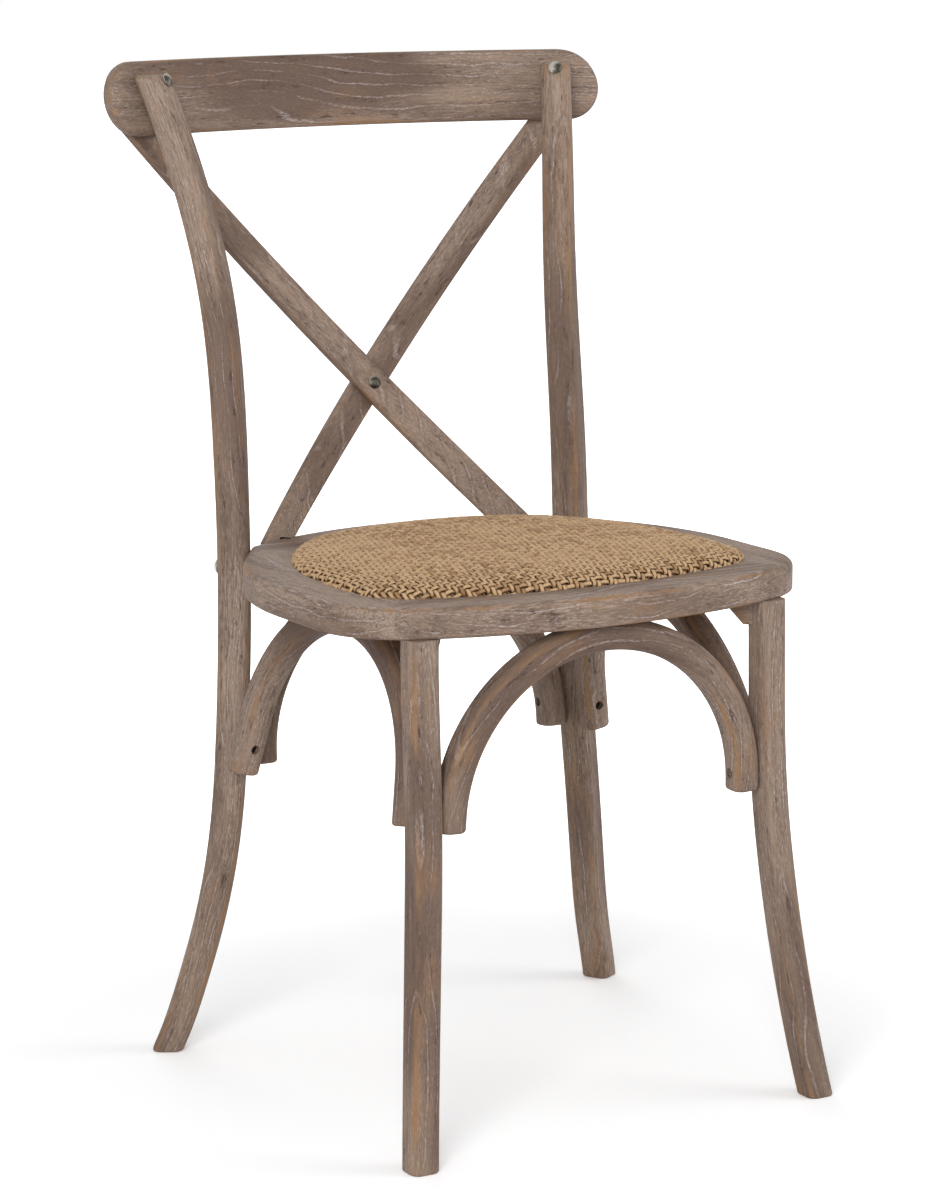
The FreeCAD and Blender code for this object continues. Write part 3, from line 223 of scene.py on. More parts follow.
# Whether the arch is at a side, then its middle, plane, height of the bend's middle, radius and tilt
ARCHES = {
    "arch_front": (False, 0.0, -0.165 - SEAT_SET_BACK, 0.2753, 0.1445, -0.044),
    "arch_rear": (False, 0.0, 0.1565 - SEAT_SET_BACK, 0.269, 0.151, 0.079),
    "arch_left": (True, -0.0065 - SEAT_SET_BACK, -0.1725, 0.2891, 0.1325, 0.187),
    "arch_right": (True, -0.0065 - SEAT_SET_BACK, 0.1725, 0.2891, 0.1325, -0.187),
}


def corner_of(*faces):
    """1 on a rounded corner and 0 on the flats, from the parts of the facing direction."""
    most = abs(faces[0])
    for face in faces[1:]:
        most = most.above(abs(face))
    return (1.0 - most).step(0.03, 0.26)


def leg_grain(graph, side):
    """Along a front leg, which flares forwards and outwards at its foot."""
    x, y, z = graph.point()
    out = (1.0 - z / 0.300).above(0.0) ** 1.55 * 0.0265
    forward = (1.0 - z / 0.550).above(0.0) ** 2.7 * 0.0465
    return z, x - side * (LEG_X + out), y - LEG_Y + forward, corner_of(*graph.facing())


def post_grain(graph, side):
    """Along a rear post, which flares at both ends and twists above the seat."""
    x, y, z = graph.point()
    out = (1.0 - z / 0.600).above(0.0) ** 3.5 * 0.0558
    top_out = ((z - 0.620) / 0.246).above(0.0) ** 1.72 * 0.034
    foot = (1.0 - z / 0.200).above(0.0) ** 1.4 * 0.035
    back = ((z - 0.200) / 0.666).above(0.0) ** 3.55 * 0.0865
    sideways = x - side * (POST_X + out + top_out)
    rearward = y - (POST_Y + foot + back)
    rise = ((z - RING_TOP) / 0.408).above(0.0)
    turn = side * (POST_LOW_TURN + (POST_TOP_TURN - POST_LOW_TURN) * rise)
    cosine = turn.math("COSINE")
    sine = turn.math("SINE")
    nx, ny, nz = graph.facing()
    corner = corner_of(nx * cosine + ny * sine, ny * cosine - nx * sine, nz)
    return z, sideways * cosine + rearward * sine, rearward * cosine - sideways * sine, corner


def crest_grain(graph):
    """Along the crest rail, which is bent in plan and leans back."""
    x, y, z = graph.point()
    nx, ny, nz = graph.facing()
    depth = y - CREST_Y + x * x / (2 * CREST_RADIUS) - (z - CREST_Z) * math.tan(CREST_LEAN)
    front = ny * math.cos(CREST_LEAN) - nz * math.sin(CREST_LEAN) + nx * x / CREST_RADIUS
    edge = length(nz * math.cos(CREST_LEAN) + ny * math.sin(CREST_LEAN), nx)
    return x, z - CREST_Z, depth, corner_of(front, edge)


def slat_grain(graph, way):
    """Along a cross slat, which slants up to the way's side."""
    x, y, z = graph.point()
    nx, ny, nz = graph.facing()
    run, rise = way * math.sin(SLAT_SLANT), math.cos(SLAT_SLANT)
    along = x * run + (z - SLAT_CROSS_Z) * rise
    across = x * rise * way - (z - SLAT_CROSS_Z) * math.sin(SLAT_SLANT)
    depth = y - along * along * 0.5
    return along, across, depth, corner_of(ny, nx * rise * way - nz * math.sin(SLAT_SLANT))


def arch_grain(graph, is_side, middle, plane, height, radius, tilt):
    """Round an arch's bend and down its two ends."""
    x, y, z = graph.point()
    nx, ny, nz = graph.facing()
    if is_side:
        x, y, nx, ny = y, x, ny, nx
    over = z - height
    lift = over.above(0.0)
    reach = x - middle
    distance = length(reach, lift)
    angle = reach.math("ARCTAN2", lift)
    along = angle * radius - reach.math("SIGN") * over.below(0.0)
    outward = (nx * reach + nz * lift) / distance
    return along, distance - radius, y - plane - over * tilt, corner_of(outward, ny)


def ring_grain(graph, runs_sideways):
    """Straight along a sawn segment of the ring."""
    x, y, z = graph.point()
    nx, ny, nz = graph.facing()
    along, across = (x, y) if runs_sideways else (y, x)
    return along, across, z, corner_of(nz, length(nx, ny))


def plain_grain(graph):
    """Straight along x, for small pieces."""
    x, y, z = graph.point()
    return x, y, z, corner_of(*graph.facing())


# Materials


def limed_wood(name, grain, seed, finish, rub=1.0, lime=1.0, heart=0.05, lean=0.06,
               pale=0.55, dusk=0.55):
    """Weathered wood with lime in its pores, dark growth lines and golden rubbed corners.

    heart is how far off the growth rings' middle lies, and lean how far it drifts along the piece. The
    other numbers set how strong the rubbed corners, the lime, the pale fibres and the dark clouds are.
    Their differences between pieces are partly the wood's own tone and partly painted light and shade:
    the legs, arches and crest rail are made darker and the posts and ring paler.
    """
    graph = Graph(name)
    dice = random.Random(seed)
    along, across, depth, corner = grain(graph)
    shift = dice.uniform(3, 9)
    sway = graph.noise((along * 5 + shift, across * 9, depth * 9 + shift), 1.0) - 0.5
    ripple = graph.noise((along * 22 + shift, across * 60, depth * 60), 1.0) - 0.5
    heart_across = dice.choice((-1, 1)) * heart * dice.uniform(0.6, 1.2)
    heart_depth = dice.choice((-1, 1)) * heart * dice.uniform(0.3, 0.9)
    radius = length(across - heart_across + along * lean * dice.uniform(0.6, 1.3), depth - heart_depth)
    years = radius * 130 + sway * 5 + ripple * 0.9
    line = (years * math.tau).math("SINE") * 0.5 + 0.5
    growth = line.step(0.35, 0.90) * (1.0 - line.step(0.90, 1.0))
    streak = graph.noise((along * 10 + shift, across * 110, depth * 110), 4.0, 0.6)
    fibre = graph.noise((along * 75 + shift, across * 620, depth * 620), 4.0, 0.7)
    pore = graph.noise((along * 230 + shift, across * 1050, depth * 1050), 3.0, 0.75)
    patch = graph.noise((along * 11 + shift, across * 30, depth * 30 + shift), 3.0, 0.6)
    cloud = graph.noise((along * 4, across * 18 + shift, depth * 18), 2.0)
    fleck = graph.noise((along * 70, across * 260 + shift, depth * 260), 3.0, 0.7)

    colour = graph.blend(streak.step(0.30, 0.68), finish.wood_dark, finish.wood_mid)
    bleached = (fibre.step(0.38, 0.72) + (cloud - 0.5) * 2.2).step(0.0, 1.0)
    colour = graph.blend(bleached * pale, colour, finish.wood_pale)
    colour = graph.blend((1.0 - cloud).step(0.44, 0.62) * dusk, colour, finish.grain)
    golden = patch.step(0.56, 0.70) * 0.50 + corner * patch.step(0.40, 0.60) * 0.85 * rub
    colour = graph.blend((golden * streak.step(0.30, 0.58)).below(1.0), colour, finish.rubbed)
    dark = growth * (0.22 + ripple * 0.7).above(0.0) + (1.0 - fibre).step(0.54, 0.76) * 0.34
    colour = graph.blend(dark.below(1.0), colour, finish.grain)
    crack = (1.0 - fleck).step(0.55, 0.68) * (1.0 - streak).step(0.45, 0.60)
    colour = graph.blend(crack * 0.8, colour, finish.crack)
    chalk = pore.step(0.53, 0.72) * (0.22 + cloud.step(0.38, 0.66) * 0.60)
    chalk = chalk + line.step(0.90, 1.0) * ripple.step(-0.12, 0.16) * pore.step(0.42, 0.56) * 0.42
    chalk = chalk * (1.0 - corner * 0.6) * lime
    colour = graph.blend(chalk.above(0.0).below(0.85), colour, finish.lime)

    height = fibre * 0.55 + pore * 0.25 - growth * 0.5 - crack * 0.8
    rough = 0.62 + fibre * 0.16 + chalk * 0.08
    normal = graph.bump(height, 0.0006, 0.55)
    graph.surface(Base_Color=colour, Roughness=rough, Normal=normal, Specular_IOR_Level=0.32)
    return graph.material


def end_wood(name, colour):
    """Raw wood of the hidden board and dowels."""
    graph = Graph(name)
    x, y, z = graph.point()
    ply = (z * 700).math("SINE") * 0.5 + 0.5
    fibre = graph.noise((x * 60, y * 600, z * 600), 3.0, 0.6)
    base = graph.blend(fibre.step(0.3, 0.7), scaled(colour, 0.6), colour)
    base = graph.blend(ply.step(0.7, 1.0) * 0.3, base, scaled(colour, 0.5))
    graph.surface(Base_Color=base, Roughness=0.8, Normal=graph.bump(fibre, 0.0003, 0.5))
    return graph.material


def dull_metal(name, colour, shine, roughness, rim=None):
    """Bronzed metal, scuffed a little, darker where dirt has settled and paler at the rim of its dome,
    where the surface turns away from the y axis.
    """
    graph = Graph(name)
    x, y, z = graph.point()
    scuff = graph.noise((x * 900, y * 900, z * 900), 4.0, 0.7)
    stain = graph.noise((x * 220, y * 220, z * 220), 2.0)
    base = graph.blend(stain.step(0.42, 0.62), scaled(colour, 0.45), colour)
    if rim:
        # A pale colour on the dome's rim, where the surface turns away from the y axis.
        edge = (1.0 - abs(graph.facing()[1])).step(0.22, 0.50)
        base = graph.blend(edge * 0.6, base, rim)
    rough = roughness + scuff * 0.22
    normal = graph.bump(scuff, 0.0002, 0.35)
    graph.surface(Base_Color=base, Metallic=shine, Roughness=rough, Normal=normal)
    return graph.material


def rattan(name, finish):
    """Rattan peel: straw coloured strands, each its own tone, with fibres, nodes and brown flecks, and
    painted shade where a strand dips under others and on its underside.
    """
    graph = Graph(name)
    shade = graph.attribute("strand_shade")
    way = graph.attribute("strand_way")
    round_way = graph.attribute("strand_round")
    x, y, z = graph.point()
    fibre = graph.noise((way * 60, round_way * 9 + shade * 40, shade * 80), 3.0, 0.65)
    patch = graph.noise((way * 26 + shade * 90, shade * 50, 0.0), 2.0, 0.6)
    fleck = graph.noise((way * 70 + shade * 30, round_way * 3, shade * 70), 2.0, 0.6)
    area = graph.noise((x * 9, y * 9, z * 9), 1.0)
    colour = graph.blend(fibre.step(0.32, 0.68), finish.straw_dark, finish.straw)
    bleached = (patch + shade * 0.5 + area * 0.5 - 0.5).step(0.1, 0.6)
    colour = graph.blend(bleached, colour, finish.straw_pale)
    colour = graph.blend(fleck.step(0.62, 0.76) * 0.7, colour, finish.straw_fleck)
    # Painted shade: the strands are darkened where they dip under others and on their undersides.
    low = 1.0 - graph.attribute("painted_dip_shade_lift").step(0.40, 0.92)
    colour = graph.blend(low * 0.85, colour, finish.straw_dip_shade)
    rough = 0.52 + fibre * 0.2
    normal = graph.bump(fibre + fleck * 0.4, 0.0005, 0.6)
    graph.surface(Base_Color=colour, Roughness=rough, Normal=normal, Specular_IOR_Level=0.4)
    return graph.material


def shade_sheet_material(name, colour):
    """A dark sheet whose colour paints the shade seen in the gaps of the weave."""
    graph = Graph(name)
    x, y, z = graph.point()
    thread = graph.noise((x * 800, y * 800, z * 800), 2.0)
    graph.surface(Base_Color=graph.blend(thread, colour, scaled(colour, 1.6)), Roughness=0.95)
    return graph.material


def finish_node(node, material):
    """Gives a piece of the frame its material in every slot."""
    mesh = NODES[node].data
    mesh.materials.clear()
    mesh.materials.append(material)


# The woven seat, laid over a crowned form that the frame's seat gives the outline of
CROWN_FULLNESS = 5.0
PROFILE_STEPS = 240
EDGE_RISE, EDGE_DROP = 0.003, 0.0065
SINK_INWARDS = 0.4
WEAVE_SEED = 11
SHEET_HALF = 0.23
STRAND_SIDES, STEPS_PER_PITCH, FEWEST_STEPS = 6, 3, 6
UNEVEN_PITCH, UNEVEN_WIDTH, WOBBLE = 0.035, 0.05, 0.00018
SHADE_SHEET_SPOKES, SHADE_SHEET_RINGS = 72, 26


class SeatForm:
    """The crowned surface that the strands follow, as a map from a flat sheet on to the seat."""

    def __init__(self, sink):
        corners = np.array([vertex.co for vertex in NODES["rattan_seat"].data.vertices])
        self.middle = np.array([0.0, (SEAT_LOW.y + SEAT_HIGH.y) / 2])
        low = corners[corners[:, 2] < RING_TOP][:, :2] - self.middle
        angle = np.arctan2(low[:, 1], low[:, 0])
        order = np.argsort(angle)
        self.angles = angle[order]
        self.reaches = np.hypot(low[:, 0], low[:, 1])[order] - sink * SINK_INWARDS
        self.edge = RING_TOP + EDGE_RISE - sink
        self.top = SEAT_HIGH.z - sink
        self.extra = self.profile()

    def profile(self):
        """Lays the crown's section out flat: share of the way out, and height, by distance."""
        reach = float(np.mean(self.reaches))
        turn = np.linspace(0, math.pi / 2, PROFILE_STEPS)
        share = np.sin(turn) ** (2 / CROWN_FULLNESS)
        rise = np.cos(turn)
        share = np.append(share, 1.0)
        height = np.append(self.edge + (self.top - self.edge) * rise, self.edge - EDGE_DROP)
        steps = np.hypot(np.diff(share * reach), np.diff(height))
        distance = np.concatenate([[0.0], np.cumsum(steps)])
        self.distance = distance / distance[-1]
        self.share = share
        self.height = height
        return distance[-1] - reach

    def reach(self, angle):
        return np.interp(angle, self.angles, self.reaches, period=math.tau)

    def sheet_reach(self, angle):
        """How far the flat sheet goes from the middle before it meets the ring."""
        return self.reach(angle) + self.extra

    def point(self, across, along):
        """Where a point of the flat sheet lies on the seat."""
        angle = np.arctan2(along, across)
        flat = np.hypot(across, along) / self.sheet_reach(angle)
        share = np.interp(flat, self.distance, self.share)
        height = np.interp(flat, self.distance, self.height)
        out = self.reach(angle) * share
        x = self.middle[0] + out * np.cos(angle)
        y = self.middle[1] + out * np.sin(angle)
        return np.stack([x, y, height], axis=-1)

    def axes(self, across, along, step=0.0004):
        """The surface's direction across, along and outwards at points of the flat sheet."""
        one = self.point(across + step, along) - self.point(across - step, along)
        two = self.point(across, along + step) - self.point(across, along - step)
        one = one / np.linalg.norm(one, axis=-1, keepdims=True)
        two = two / np.linalg.norm(two, axis=-1, keepdims=True)
        out = np.cross(one, two)
        return one, two, out / np.linalg.norm(out, axis=-1, keepdims=True)


def weave_strands(form, sizes):
    """Vertices, faces and notes of all the strands, in a two over two under twill: each strand's tone,
    its way, its round and its lift, which the seat's material turns into painted shade.
    """
    dice = np.random.default_rng(WEAVE_SEED)
    pitch = sizes.strand_pitch
    sides = STRAND_SIDES
    turns = np.arange(sides) * math.tau / sides
    vertices, faces, notes = [], [], []
    count = 0
    limit = int(SHEET_HALF / pitch)
    for sideways in (True, False):
        for number in range(-limit, limit + 1):
            offset = number * pitch + dice.normal(0, pitch * UNEVEN_PITCH)
            steps_out = limit * STEPS_PER_PITCH
            way = np.arange(-steps_out, steps_out + 1) * pitch / STEPS_PER_PITCH
            still = np.full_like(way, offset)
            across, along = (way, still) if sideways else (still, way)
            inside = np.hypot(across, along) < form.sheet_reach(np.arctan2(along, across))
            if inside.sum() < FEWEST_STEPS:
                continue
            across, along, way = across[inside], along[inside], way[inside]
            crossing = way / pitch
            base = np.floor(crossing)
            part = crossing - base
            part = part * part * (3 - 2 * part)
            low_sign = np.where((base + number) % 4 < 2, 1.0, -1.0)
            high_sign = np.where((base + 1 + number) % 4 < 2, 1.0, -1.0)
            if not sideways:
                low_sign, high_sign = -low_sign, -high_sign
            wave = low_sign * (1 - part) + high_sign * part
            wobble = dice.normal(0, WOBBLE, len(way))
            one, two, out = form.axes(across, along)
            beside = two if sideways else one
            centre = form.point(across, along) + out * (wave * sizes.strand_rise + wobble)[:, None]
            half_width = pitch * sizes.strand_fill / 2 * (1 + dice.normal(0, UNEVEN_WIDTH, len(way)))
            half_thick = sizes.strand_thickness / 2
            ring = (np.cos(turns)[None, :, None] * beside[:, None, :] * half_width[:, None, None]
                    + np.sin(turns)[None, :, None] * out[:, None, :] * half_thick)
            points = (centre[:, None, :] + ring).reshape(-1, 3)
            vertices.append(points)
            rows = len(way)
            start = count + np.arange(rows - 1)[:, None] * sides
            here = np.arange(sides)[None, :]
            after = (here + 1) % sides
            quads = [start + here, start + after, start + sides + after, start + sides + here]
            quads = np.stack(quads, axis=-1)
            walls = quads.reshape(-1, 4).tolist()
            walls.append(list(range(count, count + sides))[::-1])
            walls.append(list(range(count + (rows - 1) * sides, count + rows * sides)))
            faces.extend(walls if sideways else [face[::-1] for face in walls])
            # How high each point of a strand sits, from the weave's wave and the top or underside of
            # its section; the material paints shade where it is low.
            lift = (wave * 0.5 + 0.5)[:, None] * 0.6 + (np.sin(turns) * 0.5 + 0.5)[None, :] * 0.4
            shade = np.full(rows * sides, dice.uniform(0, 1))
            notes.append(np.stack([shade, np.repeat(way, sides), np.tile(np.sin(turns), rows),
                                   lift.reshape(-1)], axis=-1))
            count += rows * sides
    return np.concatenate(vertices), faces, np.concatenate(notes)


def mesh_piece(name, vertices, faces, material):
    mesh = bpy.data.meshes.new(name)
    mesh.from_pydata([tuple(point) for point in vertices], [], [list(face) for face in faces])
    mesh.materials.append(material)
    mesh.polygons.foreach_set("use_smooth", [True] * len(mesh.polygons))
    piece = bpy.data.objects.new(name, mesh)
    bpy.context.scene.collection.objects.link(piece)
    return piece


def note(mesh, name, values):
    attribute = mesh.attributes.new(name, "FLOAT", "POINT")
    attribute.data.foreach_set("value", np.ascontiguousarray(values, dtype=np.float32))


def woven_seat(sizes, finish):
    form = SeatForm(sizes.strand_thickness / 2 + sizes.strand_rise)
    vertices, faces, notes = weave_strands(form, sizes)
    piece = mesh_piece("woven_seat", vertices, faces, rattan("rattan_peel", finish))
    for column, name in enumerate(("strand_shade", "strand_way", "strand_round", "painted_dip_shade_lift")):
        note(piece.data, name, notes[:, column])
    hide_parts("rattan_seat")
    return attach(piece, "root")


def seat_shade_sheet(sizes, finish):
    """A closed dark sheet under the weave, seen only in its gaps, where it paints their shade."""
    form = SeatForm(sizes.strand_thickness + sizes.strand_rise * 2)
    spokes, rings = SHADE_SHEET_SPOKES, SHADE_SHEET_RINGS
    angles = np.arange(spokes) * math.tau / spokes
    vertices = [form.point(np.array([0.0]), np.array([0.0]))[0]]
    for ring in range(1, rings + 1):
        reach = form.sheet_reach(angles) * ring / rings
        vertices.extend(form.point(np.cos(angles) * reach, np.sin(angles) * reach))
    vertices.append(vertices[0] * (1, 1, 0) + np.array([0, 0, vertices[-1][2]]))
    faces = [[0, 1 + spoke, 1 + (spoke + 1) % spokes] for spoke in range(spokes)]
    for ring in range(rings - 1):
        first = 1 + ring * spokes
        for spoke in range(spokes):
            after = (spoke + 1) % spokes
            faces.append([first + spoke, first + spokes + spoke, first + spokes + after, first + after])
    rim = 1 + (rings - 1) * spokes
    last = len(vertices) - 1
    faces.extend([last, rim + (spoke + 1) % spokes, rim + spoke] for spoke in range(spokes))
    piece = mesh_piece("seat_shade_sheet", vertices, faces, shade_sheet_material("painted_gap_shade", finish.gap_shade))
    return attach(piece, "root")


# What a user would change


def colour_property(name, description, code):
    return bpy.props.FloatVectorProperty(
        name=name, description=description, subtype="COLOR", size=4, min=0, max=1, default=tone(code))


def length_property(name, description, metres):
    return bpy.props.FloatProperty(
        name=name, description=description, unit="LENGTH", precision=5,
        default=metres, min=0.0001, max=0.05)


class ChairFinish(bpy.types.PropertyGroup):
    """Colours of the wood, the weave and the metal."""

    wood_dark: colour_property("Dark wood", "Wood between the pale streaks", "69564a")
    wood_mid: colour_property("Wood", "The weathered wood's main colour", "85705f")
    wood_pale: colour_property("Pale wood", "Wood bleached by the lime", "a08c7c")
    rubbed: colour_property("Rubbed wood", "Golden wood where the lime is rubbed off", "8b6a4b")
    grain: colour_property("Growth lines", "Dark lines of the growth rings", "58443a")
    crack: colour_property("Cracks", "Dark open pores and cracks", "3a2a22")
    lime: colour_property("Lime", "Chalky lime left in the pores", "b9aca8")
    straw: colour_property("Straw", "The weave's main colour", "a68059")
    straw_pale: colour_property("Pale straw", "Pale strands", "c09f77")
    straw_dark: colour_property("Dark straw", "Dark strands", "825f3e")
    # Painted shade, laid on the strands where they dip under others and on their undersides.
    straw_dip_shade: colour_property("Deep straw", "Strands where they dip under others", "5c3f22")
    straw_fleck: colour_property("Flecks", "Brown flecks and nodes on the strands", "553519")
    # Painted shade: a near black colour for the sheet that darkens the gaps of the weave.
    gap_shade: colour_property("Liner", "Cloth seen through the weave", "20140b")
    bolt: colour_property("Bolts", "Bronzed steel of the domed bolts", "5a554d")
    # A pale colour laid on the rims of the domed bolts, where they turn away from the y axis.
    bolt_rim: colour_property("Bolt rims", "Bare metal at the rims of the bolts", "d2ccc4")
    screw: colour_property("Screws", "Black steel of the sunk screws", "34302c")
    insert: colour_property("Inserts", "Brass of the threaded inserts", "a8925c")
    raw_wood: colour_property("Raw wood", "Hidden board and dowels", "bd9b70")


class ChairSizes(bpy.types.PropertyGroup):
    """Sizes of the weave."""

    strand_pitch: length_property("Pitch", "Distance from one strand to the next", 0.0042)
    strand_thickness: length_property("Thickness", "Thickness of a strand", 0.0019)
    strand_rise: length_property("Rise", "How far a strand goes over and under the others", 0.0017)
    strand_fill: bpy.props.FloatProperty(
        name="Fill", description="Width of a strand as a share of the pitch",
        default=0.82, min=0.3, max=1.2, subtype="FACTOR")


class ChairOperator(bpy.types.Operator):
    """A step that finishes one group of the chair's pieces."""

    bl_idname = "chair.step"
    bl_label = "Step"
    bl_options = {"REGISTER", "UNDO"}

    def execute(self, context):
        self.make(context.scene.chair_sizes, context.scene.chair_finish)
        return {"FINISHED"}


class CHAIR_OT_legs(ChairOperator):
    """Finish the front legs and the rear posts, with the grain along their bends"""

    bl_idname = "chair.finish_legs"
    bl_label = "Finish legs and posts"

    def make(self, sizes, finish):
        for seed, (name, side) in enumerate(SIDES):
            # pale and dusk here are partly the wood's tone and partly painted shade: darker legs, paler
            # posts.
            leg = limed_wood(
                f"leg_wood_{name}", lambda graph: leg_grain(graph, side), 21 + seed, finish,
                lean=0.03, pale=0.45, dusk=0.75)
            post = limed_wood(
                f"post_wood_{name}", lambda graph: post_grain(graph, side), 31 + seed, finish,
                lean=0.03, pale=0.75)
            finish_node(f"front_leg_{name}", leg)
            finish_node(f"rear_post_{name}", post)


class CHAIR_OT_back(ChairOperator):
    """Finish the crest rail and the crossed slats"""

    bl_idname = "chair.finish_back"
    bl_label = "Finish crest rail and slats"

    def make(self, sizes, finish):
        # pale and dusk here are partly the wood's tone and partly painted shade, darkening the crest
        # rail.
        crest = limed_wood(
            "crest_wood", crest_grain, 41, finish, heart=0.03, lean=0.05, pale=0.4, dusk=0.8)
        finish_node("crest_rail", crest)
        for seed, (node, way) in enumerate((("cross_slat_front", -1), ("cross_slat_back", 1))):
            slat = limed_wood(
                f"{node}_wood", lambda graph: slat_grain(graph, way), 43 + seed, finish, lean=0.04)
            finish_node(node, slat)


class CHAIR_OT_ring(ChairOperator):
    """Finish the four segments of the seat ring, each with the grain along its own board"""

    bl_idname = "chair.finish_ring"
    bl_label = "Finish seat ring"

    def make(self, sizes, finish):
        for seed, name in enumerate(("front", "rear", "left", "right")):
            sideways = name in ("front", "rear")
            # lime, pale and dusk here are partly the wood's tone and partly painted light, making the
            # ring paler.
            wood = limed_wood(
                f"ring_{name}_wood", lambda graph: ring_grain(graph, sideways), 51 + seed, finish,
                rub=1.3, lime=1.4, pale=0.85, dusk=0.35)
            finish_node(f"ring_{name}", wood)


class CHAIR_OT_arches(ChairOperator):
    """Finish the four bent arches, with the grain round their bends"""

    bl_idname = "chair.finish_arches"
    bl_label = "Finish arches"

    def make(self, sizes, finish):
        for seed, (node, numbers) in enumerate(ARCHES.items()):
            # pale and dusk here are partly the wood's tone and partly painted shade, darkening the
            # arches under the seat.
            wood = limed_wood(
                f"{node}_wood", lambda graph: arch_grain(graph, *numbers), 61 + seed, finish,
                lean=0.02, pale=0.45, dusk=0.8)
            finish_node(node, wood)


class CHAIR_OT_brackets(ChairOperator):
    """Finish the corner brackets under the ring"""

    bl_idname = "chair.finish_brackets"
    bl_label = "Finish corner brackets"

    def make(self, sizes, finish):
        wood = limed_wood("bracket_wood", plain_grain, 71, finish)
        for node in NODES:
            if node.startswith("corner_gusset"):
                finish_node(node, wood)


class CHAIR_OT_hardware(ChairOperator):
    """Finish the bolts, screws, inserts, dowels and the board under the weave"""

    bl_idname = "chair.finish_hardware"
    bl_label = "Finish hardware"

    def make(self, sizes, finish):
        bolt = dull_metal("bronzed_steel", finish.bolt, 0.9, 0.28, finish.bolt_rim)
        screw = dull_metal("black_steel", finish.screw, 0.8, 0.4)
        brass = dull_metal("plain_brass", finish.insert, 1.0, 0.3)
        raw = end_wood("raw_wood", finish.raw_wood)
        metals = {
            "crest_bolts": bolt, "seat_bolts": bolt, "cross_bolt": bolt, "cross_nut": bolt,
            "slat_screws": screw, "arch_end_screws": screw, "arch_crown_screws": screw,
            "gusset_screws": screw, "crest_inserts": brass, "seat_inserts": brass,
            "ring_dowels": raw, "seat_board": raw,
        }
        for node, material in metals.items():
            finish_node(node, material)


class CHAIR_OT_weave(ChairOperator):
    """Weave the rattan seat over its crowned form"""

    bl_idname = "chair.weave_seat"
    bl_label = "Weave seat"

    def make(self, sizes, finish):
        woven_seat(sizes, finish)
        seat_shade_sheet(sizes, finish)


# Stage: pale floor, soft light and the camera at the photograph's angle
CAMERA_PLACE = (-1.67927, -2.85647, 1.05484)
CAMERA_TURN, CAMERA_DIP = -30.4418, 10.3063
PICTURE_LONG_SIDE, FOCAL_PIXELS, HORIZON_RISE = 1200, 3854.606, 44.06
SENSOR = 36.0
FLOOR_HALF = 14.0
FLOOR_FADE = (0.35, 1.1)
FLOOR_PLAIN, FLOOR_SEEN = (0.72, 0.72, 0.72, 1), (0.97, 0.97, 0.97, 1)
FLOOR_GLOW = (0.16, 0.16, 0.16, 1)
SKY_PLAIN = (0.50, 0.505, 0.515, 1)
WHITE, BLACK = (1, 1, 1, 1), (0, 0, 0, 1)
LAMPS_AIM_AT = (0, 0, 0.45)
# Each lamp's place, width and power
LAMPS = {
    "key": ((-2.5, -2.8, 1.9), 2.2, 105),
    "fill": ((2.9, -1.9, 1.4), 2.4, 45),
    "back": ((0.6, 3.0, 1.3), 2.4, 22),
}


def white_to_camera(graph_tree, plain, seen):
    """A colour that is plain to light, and another to the camera, glossy and transmission rays."""
    rays = graph_tree.nodes.new("ShaderNodeLightPath")
    first = graph_tree.nodes.new("ShaderNodeMath")
    first.operation = "MAXIMUM"
    second = graph_tree.nodes.new("ShaderNodeMath")
    second.operation = "MAXIMUM"
    mix = graph_tree.nodes.new("ShaderNodeMix")
    mix.data_type = "RGBA"
    link = graph_tree.links.new
    link(rays.outputs["Is Camera Ray"], first.inputs[0])
    link(rays.outputs["Is Glossy Ray"], first.inputs[1])
    link(first.outputs[0], second.inputs[0])
    link(rays.outputs["Is Transmission Ray"], second.inputs[1])
    link(second.outputs[0], mix.inputs[0])
    mix.inputs[6].default_value = plain
    mix.inputs[7].default_value = seen
    return mix.outputs[2]


def lamp(name, place, size, power):
    light = bpy.data.lights.new(name, "AREA")
    light.shape = "DISK"
    light.size = size
    light.energy = power
    holder = bpy.data.objects.new(name, light)
    holder.location = place
    holder.rotation_euler = (Vector(LAMPS_AIM_AT) - Vector(place)).to_track_quat("-Z", "Y").to_euler()
    bpy.context.scene.collection.objects.link(holder)


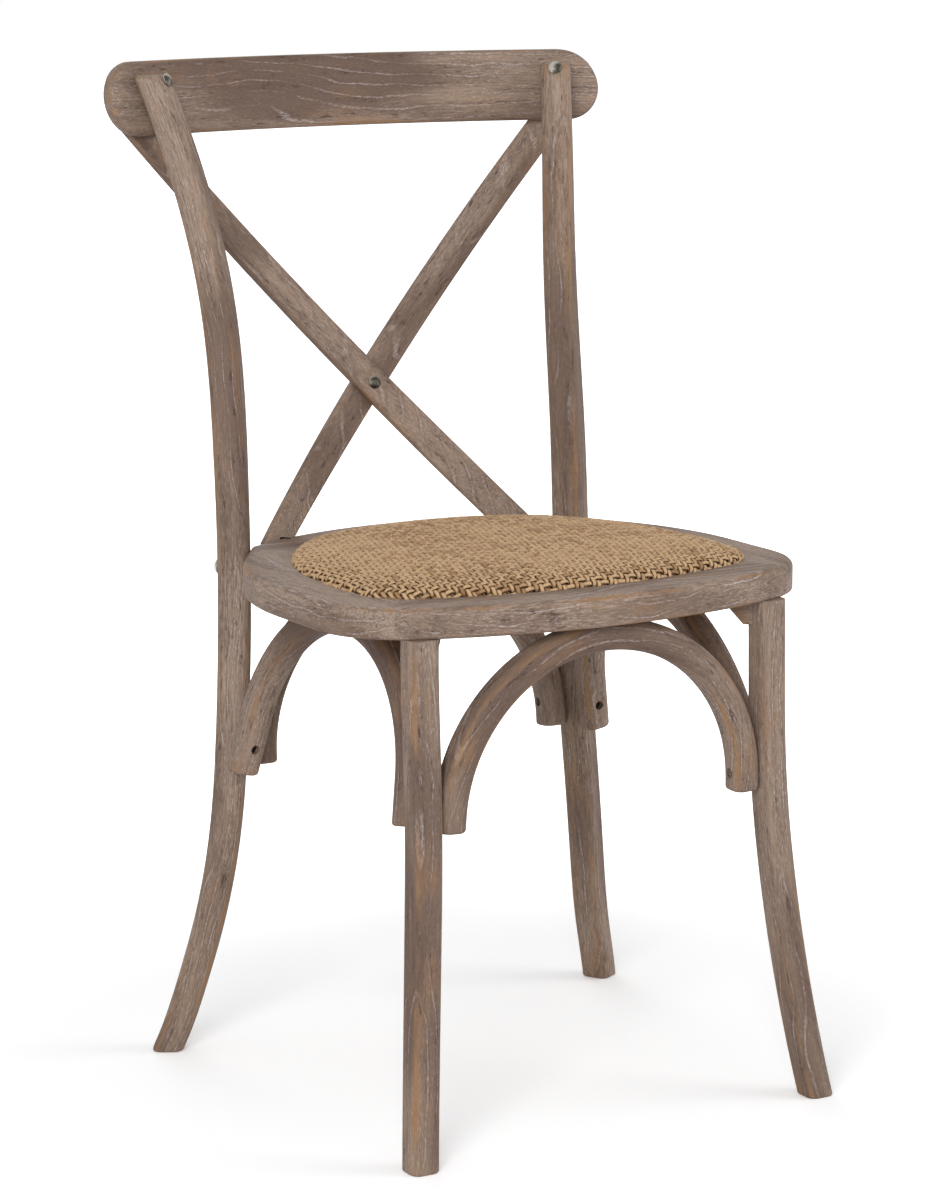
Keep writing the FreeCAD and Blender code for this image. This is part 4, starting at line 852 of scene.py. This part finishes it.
class CHAIR_OT_stage(ChairOperator):
    """Set up the floor, the soft studio light and the camera"""

    bl_idname = "chair.set_stage"
    bl_label = "Set stage"

    def make(self, sizes, finish):
        scene = bpy.context.scene
        scene.view_settings.view_transform = "Standard"
        graph = Graph("pale_floor")
        x, y, z = graph.point()
        colour = white_to_camera(graph.tree, FLOOR_PLAIN, FLOOR_SEEN)
        near = white_to_camera(graph.tree, BLACK, FLOOR_GLOW)
        far = white_to_camera(graph.tree, BLACK, WHITE)
        glow = graph.blend(length(x, y).step(*FLOOR_FADE), near, far)
        graph.surface(Base_Color=colour, Roughness=0.9, Specular_IOR_Level=0.1,
                      Emission_Color=glow, Emission_Strength=1.0)
        half = FLOOR_HALF
        corners = [(-half, -half, 0), (half, -half, 0), (half, half, 0), (-half, half, 0)]
        floor = mesh_piece("floor", corners, [[0, 1, 2, 3]], graph.material)
        world = bpy.data.worlds.new("studio")
        world.use_nodes = True
        background = world.node_tree.nodes["Background"]
        sky = white_to_camera(world.node_tree, SKY_PLAIN, WHITE)
        world.node_tree.links.new(sky, background.inputs["Color"])
        scene.world = world
        for name, (place, size, power) in LAMPS.items():
            lamp(name, place, size, power)
        camera = bpy.data.cameras.new("camera")
        camera.sensor_width = SENSOR
        camera.lens = FOCAL_PIXELS / PICTURE_LONG_SIDE * SENSOR
        camera.shift_y = -HORIZON_RISE / PICTURE_LONG_SIDE
        holder = bpy.data.objects.new("camera", camera)
        holder.location = CAMERA_PLACE
        holder.rotation_euler = (math.radians(90 - CAMERA_DIP), 0, math.radians(CAMERA_TURN))
        scene.collection.objects.link(holder)
        scene.camera = holder


STEPS = (CHAIR_OT_legs, CHAIR_OT_back, CHAIR_OT_ring, CHAIR_OT_arches, CHAIR_OT_brackets,
         CHAIR_OT_hardware, CHAIR_OT_weave, CHAIR_OT_stage)


class CHAIR_PT_panel(bpy.types.Panel):
    """Lists the chair's steps, sizes and colours"""

    bl_idname = "CHAIR_PT_panel"
    bl_label = "Cross back chair"
    bl_space_type = "VIEW_3D"
    bl_region_type = "UI"
    bl_category = "Chair"

    def draw(self, context):
        for step in STEPS:
            self.layout.operator(step.bl_idname)
        for group in (context.scene.chair_sizes, context.scene.chair_finish):
            box = self.layout.box()
            for name in group.__annotations__:
                box.prop(group, name)


CLASSES = (ChairFinish, ChairSizes, *STEPS, CHAIR_PT_panel)


def register():
    for part in CLASSES:
        bpy.utils.register_class(part)
    bpy.types.Scene.chair_finish = bpy.props.PointerProperty(type=ChairFinish)
    bpy.types.Scene.chair_sizes = bpy.props.PointerProperty(type=ChairSizes)


def unregister():
    del bpy.types.Scene.chair_sizes
    del bpy.types.Scene.chair_finish
    for part in reversed(CLASSES):
        bpy.utils.unregister_class(part)


def main():
    register()
    for step in STEPS:
        name = step.bl_idname.split(".")[1]
        getattr(bpy.ops.chair, name)()


if __name__ == "__main__":
    main()
